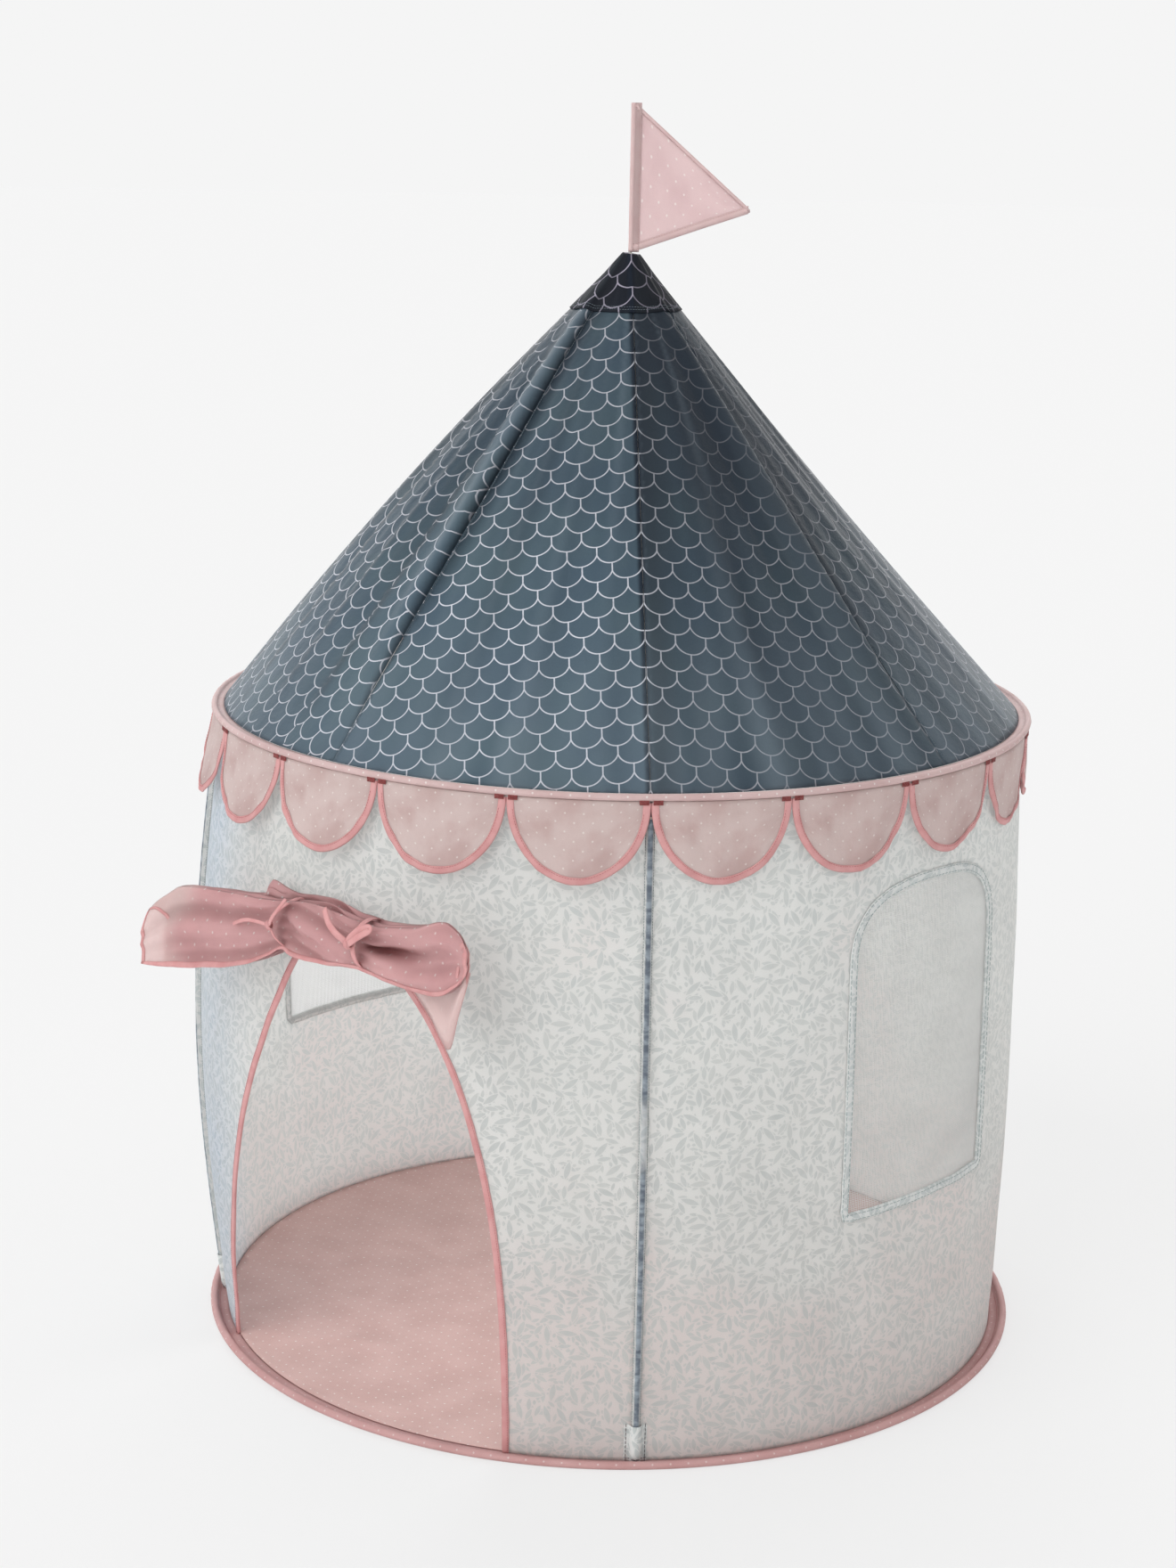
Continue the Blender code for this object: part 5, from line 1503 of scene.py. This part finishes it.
def makeTacks():
    # close rows of thread beside the top of each notch
    lines = []
    for number in range(valance["scallops"]):
        notch = (number + 0.5) * valance["pitch"]
        for side in (-1, 1):
            middle = notch * metre + side * tacks["beside"]
            for k in range(tacks["rows"]):
                height = valance["top"] + 0.0016 - k * tacks["pitch"] + 0.0002 * (k % 2)
                row = [Vector((middle + x, height)) for x in (-tacks["half"], 0.0, tacks["half"])]
                lines.append([onValance(p, 0.0021) for p in row])
    values = {"Thread": tacks["thread"], "Material": cloths["tack"]}
    made = grow("valanceTacks", lines, threadNet, values)
    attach(made, "tent")


makeValance()
makeTacks()
print("valance: done")


# Flag

flag = {
    "azimuth": 131.0,
    "fly": 0.137,
    "foot": 1.2940,
    "top": 1.4620,
    "tip": 1.3427,
    "start": 0.0022,
    "cloth": 0.0007,
    "trim": 0.0004,
    "rod": 0.0026,  # radius of the sleeve round the rod
    "sleeve": 0.0095,  # where the sleeve ends on the cloth
    "stitches": 0.0085,
}


def flagPoint(out, height, lift=0.0):
    share = out / flag["fly"]
    ripple = 0.006 * share * math.sin(math.pi * (1.6 * share + 2.2 * (height - flag["tip"])))
    ripple += 0.0012 * smooth(0, 0.3, share) * waves(out * 40, height * 30, 5.0)
    along, side = outward(flag["azimuth"]), sideways(flag["azimuth"])
    return along * out + side * (ripple + lift) + Vector((0, 0, height))


def flagEdges(share):
    return lerp(flag["foot"], flag["tip"] - 0.0015, share), lerp(flag["top"], flag["tip"] + 0.0015, share)


def makeFlag():
    def cloth(up, share):
        low, high = flagEdges(share)
        return flagPoint(lerp(flag["start"], flag["fly"], share), lerp(low, high, up))

    made = strips("flagCloth", [grid(40, 36, cloth)], "flag", flag["cloth"])
    # the hems: each a strip folded over an edge, with two rows of stitches
    hems = []
    for end, width, inwards in ((0, 0.0085, 1), (1, 0.005, -1)):
        section = [(width, 0.0006), (width * 0.5, 0.0011), (0.0, 0.0008), (-0.0005, 0), (0, -0.0008)]
        section += [(width * 0.5, -0.0011), (width, -0.0006)]
        strip = []
        for deep, lift in section:
            row = []
            for i in range(49):
                share = i / 48 * 0.985
                edge = flagEdges(share)[end] + deep * inwards
                row.append(flagPoint(lerp(flag["start"], flag["fly"], share), edge, lift))
            strip.append(row)
        hems.append(strip)
        for side in (-1, 1):
            path = []
            for i in range(41):
                edge = flagEdges(lerp(0.04, 0.93, i / 40))[end] + inwards * width * 0.82
                path.append(flagPoint(lerp(0.006, flag["fly"] * 0.93, i / 40), edge, side * 0.0013))
            stitch(path, "pinkThread", "flag")
    hem = strips("flagHem", hems, "hem", flag["trim"])
    finishSheet(hem, "flag", "trim_cloth", [], (0.0165, 0.36), "folded", ["flagCloth"], area=0.0048)
    # the sleeve: from the cloth, round the rod, and back to the cloth
    rows = []
    for height in steps(flag["foot"] - 0.0005, flag["top"] + 0.0005, 60):
        row = []
        for k in range(17):
            radius = flag["rod"] + 0.0002 * waves(height * 90, k * 0.5, 2.2)
            row.append(place(flag["azimuth"] + 8 + 344 * k / 16, radius, height))
        first = outward(flag["azimuth"]) * flag["sleeve"] + Vector((0, 0, height))
        lift = sideways(flag["azimuth"]) * 0.0010
        rows.append([first + lift] + row + [first - lift])
    tube = strips("flagSleeve", [rows], "hem", flag["trim"])
    finishSheet(tube, "flag", "trim_cloth", [], (0.031, 0.168), "folded", ["flag_rod"])
    for side in (-1, 1):
        heights = steps(flag["foot"] + 0.004, flag["top"] - 0.012, 40)
        path = [flagPoint(flag["stitches"], height, side * 0.0016) for height in heights]
        stitch(path, "pinkThread", "flag")
    given = {"area": 0.0122, "withPieces": [hem, tube]}
    finishSheet(made, "flag", "trim_cloth", ["flag"], (0.137, 0.168), "hung", ["flag_rod"], **given)


makeFlag()
print("flag: done")


# Door flap, folded up on itself and tied twice

flap = {
    "front": 0.485922,
    "layers": 6,
    "columns": 200,
    "across": 180,
    "left": -0.257,
    "right": 0.2575,
    "rearLeft": -0.208,
    "rearRight": 0.246,
    "fold": 0.0066,
    "dent": 0.0130,  # depth of the pocket beyond the right tie
    "pinch": 0.016,  # how far each tie draws the cloth in, to both sides
    "ties": (-0.022, 0.100),
    "tieLeans": (0.016, 0.0024),
    "tieWidths": (0.0052, 0.0070),
    "knots": ((-0.029, 0.584), (0.095, 0.590)),  # x and height
    "cloth": 0.0006,
    "tape": 0.0007,
}
# x, lower edge, upper edge, half thickness, distance in front of the wall
flapFront = (
    (-0.257, 0.4885, 0.534, 0.0035, 0.046),
    (-0.241, 0.490, 0.557, 0.0045, 0.045),
    (-0.214, 0.495, 0.579, 0.0065, 0.043),
    (-0.189, 0.499, 0.594, 0.0085, 0.040),
    (-0.137, 0.510, 0.600, 0.0135, 0.035),
    (-0.081, 0.526, 0.604, 0.0185, 0.031),
    (-0.045, 0.543, 0.606, 0.0205, 0.029),
    (-0.022, 0.556, 0.609, 0.0205, 0.028),
    (0.009, 0.553, 0.614, 0.0240, 0.0282),
    (0.050, 0.553, 0.617, 0.0250, 0.0285),
    (0.088, 0.559, 0.611, 0.0205, 0.028),
    (0.118, 0.556, 0.611, 0.0205, 0.028),
    (0.142, 0.554, 0.614, 0.0190, 0.029),
    (0.181, 0.552, 0.623, 0.0145, 0.032),
    (0.222, 0.558, 0.636, 0.0085, 0.037),
    (0.243, 0.572, 0.629, 0.0050, 0.039),
    (0.2575, 0.588, 0.612, 0.0030, 0.040),
)
# how far the rear layers hang below the front one, and stand above it
flapRear = (
    (-0.257, 0.0, 0.0),
    (-0.074, 0.0, 0.0),
    (-0.066, 0.0, 0.019),
    (-0.045, 0.0, 0.013),
    (-0.010, 0.0, 0.004),
    (0.088, 0.0, 0.0),
    (0.118, 0.003, 0.0),
    (0.142, 0.009, 0.0),
    (0.181, 0.032, -0.002),
    (0.219, 0.063, -0.004),
    (0.236, 0.032, -0.004),
    (0.2575, 0.0, 0.0),
)
# each end of a tie: its knot, its width, and its path from there, the last one a loop
flapEnds = (
    (0, 0.0040, ((0, 0, 0), (-0.022, -0.001, 0.0005), (-0.045, 0.004, -0.004), (-0.068, 0.008, -0.014))),
    (0, 0.0042, ((0.001, -0.001, 0), (0.008, -0.004, 0.010), (0.014, 0.002, 0.022), (0.016, 0.010, 0.031))),
    (1, 0.0080, ((0, 0, 0), (-0.012, -0.006, 0.010), (-0.026, -0.004, 0.019), (-0.040, 0.004, 0.029))),
    (
        1,
        0.0072,
        (
            (0, 0, 0), (0.010, -0.007, 0.004), (0.022, -0.006, 0.013), (0.031, 0.001, 0.020),
            (0.029, 0.003, 0.023), (0.018, -0.001, 0.019), (0.006, -0.004, 0.007), (0, -0.001, 0),
        ),
    ),
)


def ridge(turn):
    return 1 - abs(math.sin(math.pi * turn))


def flapPoint(along, across):
    # across runs over the whole cloth, from its front edge, up and down, to its rear edge
    turn = across * flap["layers"]
    rear = smooth(0.75, 1.6, turn)
    last = smooth(4.4, 5.2, turn)
    start = lerp(flap["left"], flap["rearLeft"] + 0.012 * math.sin(turn * 2.2), rear)
    x = lerp(start, lerp(flap["right"], flap["rearRight"], rear * (1 - last)), along)
    low, high, thick, away = table(flapFront, x)
    hang, stand = table(flapRear, x)
    low, high = low - hang * last, high + stand * last
    up = 0.5 - 0.5 * math.cos(math.pi * turn)
    up = lerp(up, abs((turn + 1) % 2 - 1), 0.55)
    near = 1 - 2 * across  # 1 at the front layer, -1 at the rear one
    before, beyond = [x - at for at in flap["ties"]]
    pinch = max(bell(before, flap["pinch"]), bell(beyond, flap["pinch"]))
    # the folds run their own way left of the ties, between them and right of them
    left, right = smooth(0.0, 0.03, -before), smooth(0.0, 0.03, beyond)
    middle = smooth(0.0, 0.02, before) * smooth(0.0, 0.02, -beyond)
    folds = left * (0.9 * ridge(2.0 * up + 0.25 + 0.9 * x) + 0.5 * ridge(3.3 * up - 1.4 * x) - 0.5)
    folds += middle * (1.3 * ridge(1.5 * up + 7.5 * x + 0.10) + 0.5 * ridge(3.1 * up + 11 * x) - 0.7)
    folds += right * (0.8 * ridge(1.6 * up + 2.2 * x + 0.3) + 0.4 * ridge(3.7 * up - 3 * x) - 0.4)
    folds += pinch * (0.5 * ridge(4.2 * up + 3 * x) - 0.2)
    # a deep pocket opens beyond the right tie
    opening = lerp(0.045, 0.14, smooth(0.0, 0.06, beyond))
    pocket = smooth(0.0, 0.010, beyond) * bell(up - (0.53 - 0.6 * beyond), opening)
    dent = pocket * (1 - smooth(0.05, 0.125, beyond))
    pocket *= 1 - smooth(0.015, 0.085, beyond)
    ease = smooth(0.0, 0.011, thick)
    dent *= max(0.0, 1 - turn / 5)
    depth = thick * near * 0.8 + ease * (flap["fold"] * folds - flap["dent"] * dent)
    depth += 0.0016 * waves(x * 26, across * 22, 3.0) + 0.0010 * waves(x * 70, across * 40, 9.0)
    edge = low + (high - low) * up + 0.0012 * waves(x * 30, across * 9, 2.0)
    # painted shade in the pocket, in the hollows of the folds and where the ties pinch the cloth
    paintedShade = 0.90 * pocket * smooth(1.7, 0.9, turn) + 0.55 * max(0.0, 0.15 - folds) * ease + 0.30 * pinch
    # painted backlight: the single-layer ends show paler, at the left and on the rear layer's hanging corner
    thin = 0.85 * smooth(-0.165, -0.215, x + 0.02 * math.sin(5 * up)) + 0.8 * last * smooth(0.12, 0.16, x)
    point = Vector((x, -flap["front"] - away - depth, edge))
    return point, min(0.85, max(0.0, paintedShade)), min(1.0, thin)


def ribbon(path, width, facing):
    # a flat ribbon along a smooth path, with its face turned to one side, or away from a point
    points = [Vector(p) for p in path]
    line = []
    for i in range(len(points) - 1):
        p0, p1, p2, p3 = points[max(i - 1, 0)], points[i], points[i + 1], points[min(i + 2, len(points) - 1)]
        for t in (k / 8 for k in range(8)):
            square, cube = 2 * p0 - 5 * p1 + 4 * p2 - p3, 3 * p1 - p0 - 3 * p2 + p3
            line.append(0.5 * (2 * p1 + (p2 - p0) * t + square * t**2 + cube * t**3))
    line.append(points[-1])
    rows = [[] for _ in range(5)]
    for i, p in enumerate(line):
        along = (line[min(i + 1, len(line) - 1)] - line[max(i - 1, 0)]).normalized()
        face = p - facing if isinstance(facing, Vector) else Vector(facing)
        side = along.cross(face).normalized()
        out = side.cross(along).normalized()
        for k, row in enumerate(rows):
            s = (k - 2) / 2
            lift = 0.0004 * (1 - s * s) * (1 if face.dot(out) > 0 else -1)
            row.append(p + side * (s * width / 2) + out * lift)
    return rows


def makeFlapHem(rows):
    # folded strips along the front, rear and end edges
    hems = []
    for edge, step, ahead in ((0, 1, -1), (len(rows) - 1, -1, 1)):
        shift = Vector((0, 0.0009 * ahead, 0))
        hems.append([[p + shift for p in rows[edge + step * deep]] for deep in range(4)])
    shift = Vector((0, -0.0009, 0))
    for edge, step in ((0, 1), (len(rows[0]) - 1, -1)):
        hems.append([[row[edge + step * deep] + shift for row in rows] for deep in range(3)])
    return strips("doorFlapHem", hems, "rose", flap["cloth"])


def makeFlapTies():
    # two tapes round the bundle, each with a knot and its ends
    ties = []
    for x, lean, width in zip(flap["ties"], flap["tieLeans"], flap["tieWidths"]):
        low, high, thick, away = table(flapFront, x)
        middle = Vector((x, -flap["front"] - away, (low + high) / 2))
        loop = []
        for i in range(25):
            turn = math.tau * i / 24
            lifted = math.cos(turn) * ((high - low) / 2 + 0.0022)
            ahead = -math.sin(turn) * (thick + 0.0052)
            loop.append(middle + Vector((lean * (math.cos(turn) ** 2 - 0.5), ahead, lifted)))
        ties.append(ribbon(loop, width, middle))
    knots = [Vector((x, -flap["front"] - 0.057, z)) for x, z in flap["knots"]]
    for knot, width, path in flapEnds:
        ties.append(ribbon([knots[knot] + Vector(p) for p in path], width, (0, -1, 0.15)))
    for knot, size in zip(knots, (0.0042, 0.0050)):
        for lean in (0.6, -0.7):
            wrap = []
            for turn in steps(0.0, math.tau, 12):
                x, y, z = 0.8 * math.cos(turn) * lean, 0.7 * math.sin(turn), math.cos(turn)
                wrap.append(knot + size * Vector((x, y, z)))
            ties.append(ribbon(wrap, size * 1.25, knot))
    return strips("doorFlapTies", ties, "rose", flap["tape"])


def makeFlap():
    given = grid(flap["across"], flap["columns"], lambda across, along: flapPoint(along, across))
    rows = [[point for point, _, _ in row] for row in given]
    # painted shade, and painted backlight on the thin ends
    marks = {
        "shade": [paintedShade for row in given for _, paintedShade, _ in row],
        "light": [thin for row in given for _, _, thin in row],
    }
    made = strips("doorFlapCloth", [rows], "flap", flap["cloth"], marks=marks)
    hem, tied = makeFlapHem(rows), makeFlapTies()
    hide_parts("door_flap")
    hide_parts("door_tie_left", "door_tie_right")
    given = {"withPieces": [hem, tied]}
    finishSheet(made, "door_flap", "trim_cloth", [], (0.54, 0.44), "gathered", ["doorBinding"], **given)
    finishSheet(hem, "door_flap", "trim_cloth", [], (0.010, 1.3), "folded", ["doorFlapCloth"])
    finishSheet(tied, "door_flap", "trim_cloth", [], (0.010, 0.62), "folded", ["doorFlapCloth"])


makeFlap()
print("flap: done")


# Stitches: one mesh for each thread and body

# pitch, length and radius of the usual stitches, and of the coarser ones
usualThread = (0.0031, 0.0023, 0.00027)
threads = {"greyThread": (0.0060, 0.0044, 0.00036), "pocketThread": (0.0052, 0.0040, 0.00048)}


def makeStitches():
    for (body, thread), lines in stitchLines.items():
        pitch, length, radius = threads.get(thread, usualThread)
        values = {"Pitch": pitch, "Stitch": length, "Thread": radius, "Material": cloths[thread]}
        made = grow(f"stitches.{body}.{thread}", lines, stitchRun, values)
        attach(made, body)
        print("stitches:", made.name, len(made.data.polygons), "faces")


makeStitches()


# Floor, backdrop and light

studio = {
    "background": (245, 245, 245),
    "sky": 0.74,
    "glow": 0.946,
    "floorGlow": 0.75,  # the glow's share of the floor
    "floorRadius": 40,
    # name, azimuth it shines from, elevation, strength, softness
    "suns": (("keyLight", -6.0, 32.0, 1.30, 55.0), ("backLight", 222.0, 25.0, 1.45, 70.0)),
    "inside": (5.5, 0.62),  # strength and height
}


def makeWorld():
    # the backdrop shows at full strength, and lights the tent with less
    world = bpy.data.worlds.new("studio")
    bpy.context.scene.world = world
    tree = emptyTree(world)
    rays = put(tree, "ShaderNodeLightPath")
    seen = calc("MAXIMUM", rays["Is Camera Ray"], rays["Is Glossy Ray"])
    seen = calc("MAXIMUM", seen, rays["Is Transmission Ray"])
    back = {"Color": rgb(*studio["background"]), "Strength": 1.0}
    back = put(tree, "ShaderNodeBackground", back)[0]
    light = put(tree, "ShaderNodeBackground", {"Color": (1.0, 1.0, 1.0, 1.0), "Strength": studio["sky"]})[0]
    both = put(tree, "ShaderNodeMixShader", {0: seen, 1: light, 2: back})[0]
    put(tree, "ShaderNodeOutputWorld", {"Surface": both})


def makeFloor():
    # matt, and mixed for the camera with a glow of the backdrop's colour, so that no edge shows
    material = bpy.data.materials.new("studioFloor")
    tree = emptyTree(material)
    spot = put(tree, "ShaderNodeTexCoord")["Object"]
    colour = tint(ramp(cloudy(spot, 3.0), 0.3, 0.7, 0.0, 0.015), rgb(247, 247, 247), rgb(240, 240, 240))
    lit = {"Base Color": colour, "Roughness": 1.0, "Specular IOR Level": 0.0}
    lit = put(tree, "ShaderNodeBsdfPrincipled", lit)["BSDF"]
    glow = {"Color": rgb(*studio["background"]), "Strength": studio["glow"]}
    glow = put(tree, "ShaderNodeEmission", glow)[0]
    factor = put(tree, "ShaderNodeLightPath")["Is Camera Ray"] * studio["floorGlow"]
    both = put(tree, "ShaderNodeMixShader", {0: factor, 1: lit, 2: glow})[0]
    put(tree, "ShaderNodeOutputMaterial", {"Surface": both})
    mesh = bpy.data.meshes.new("studioFloor")
    rim = [(x, y, -0.0002) for x, y in circle(studio["floorRadius"], 96)]
    mesh.from_pydata(rim, [], [tuple(range(len(rim)))])
    mesh.materials.append(material)
    show("studioFloor", mesh)


def makeLights():
    for name, azimuth, rise, strength, soft in studio["suns"]:
        lamp = bpy.data.lights.new(name, "SUN")
        lamp.energy = strength
        lamp.angle = math.radians(soft)
        made = show(name, lamp)
        towards = place(azimuth, math.cos(math.radians(rise)), math.sin(math.radians(rise)))
        made.rotation_euler = towards.to_track_quat("Z", "Y").to_euler()
        made.location = towards * 4
    lamp = bpy.data.lights.new("insideLight", "POINT")
    lamp.energy, height = studio["inside"]
    lamp.shadow_soft_size = 0.2
    show("insideLight", lamp).location = (0.0, 0.0, height)


bpy.context.scene.view_settings.view_transform = "Standard"
makeWorld()
makeFloor()
makeLights()
print("studio: lit")
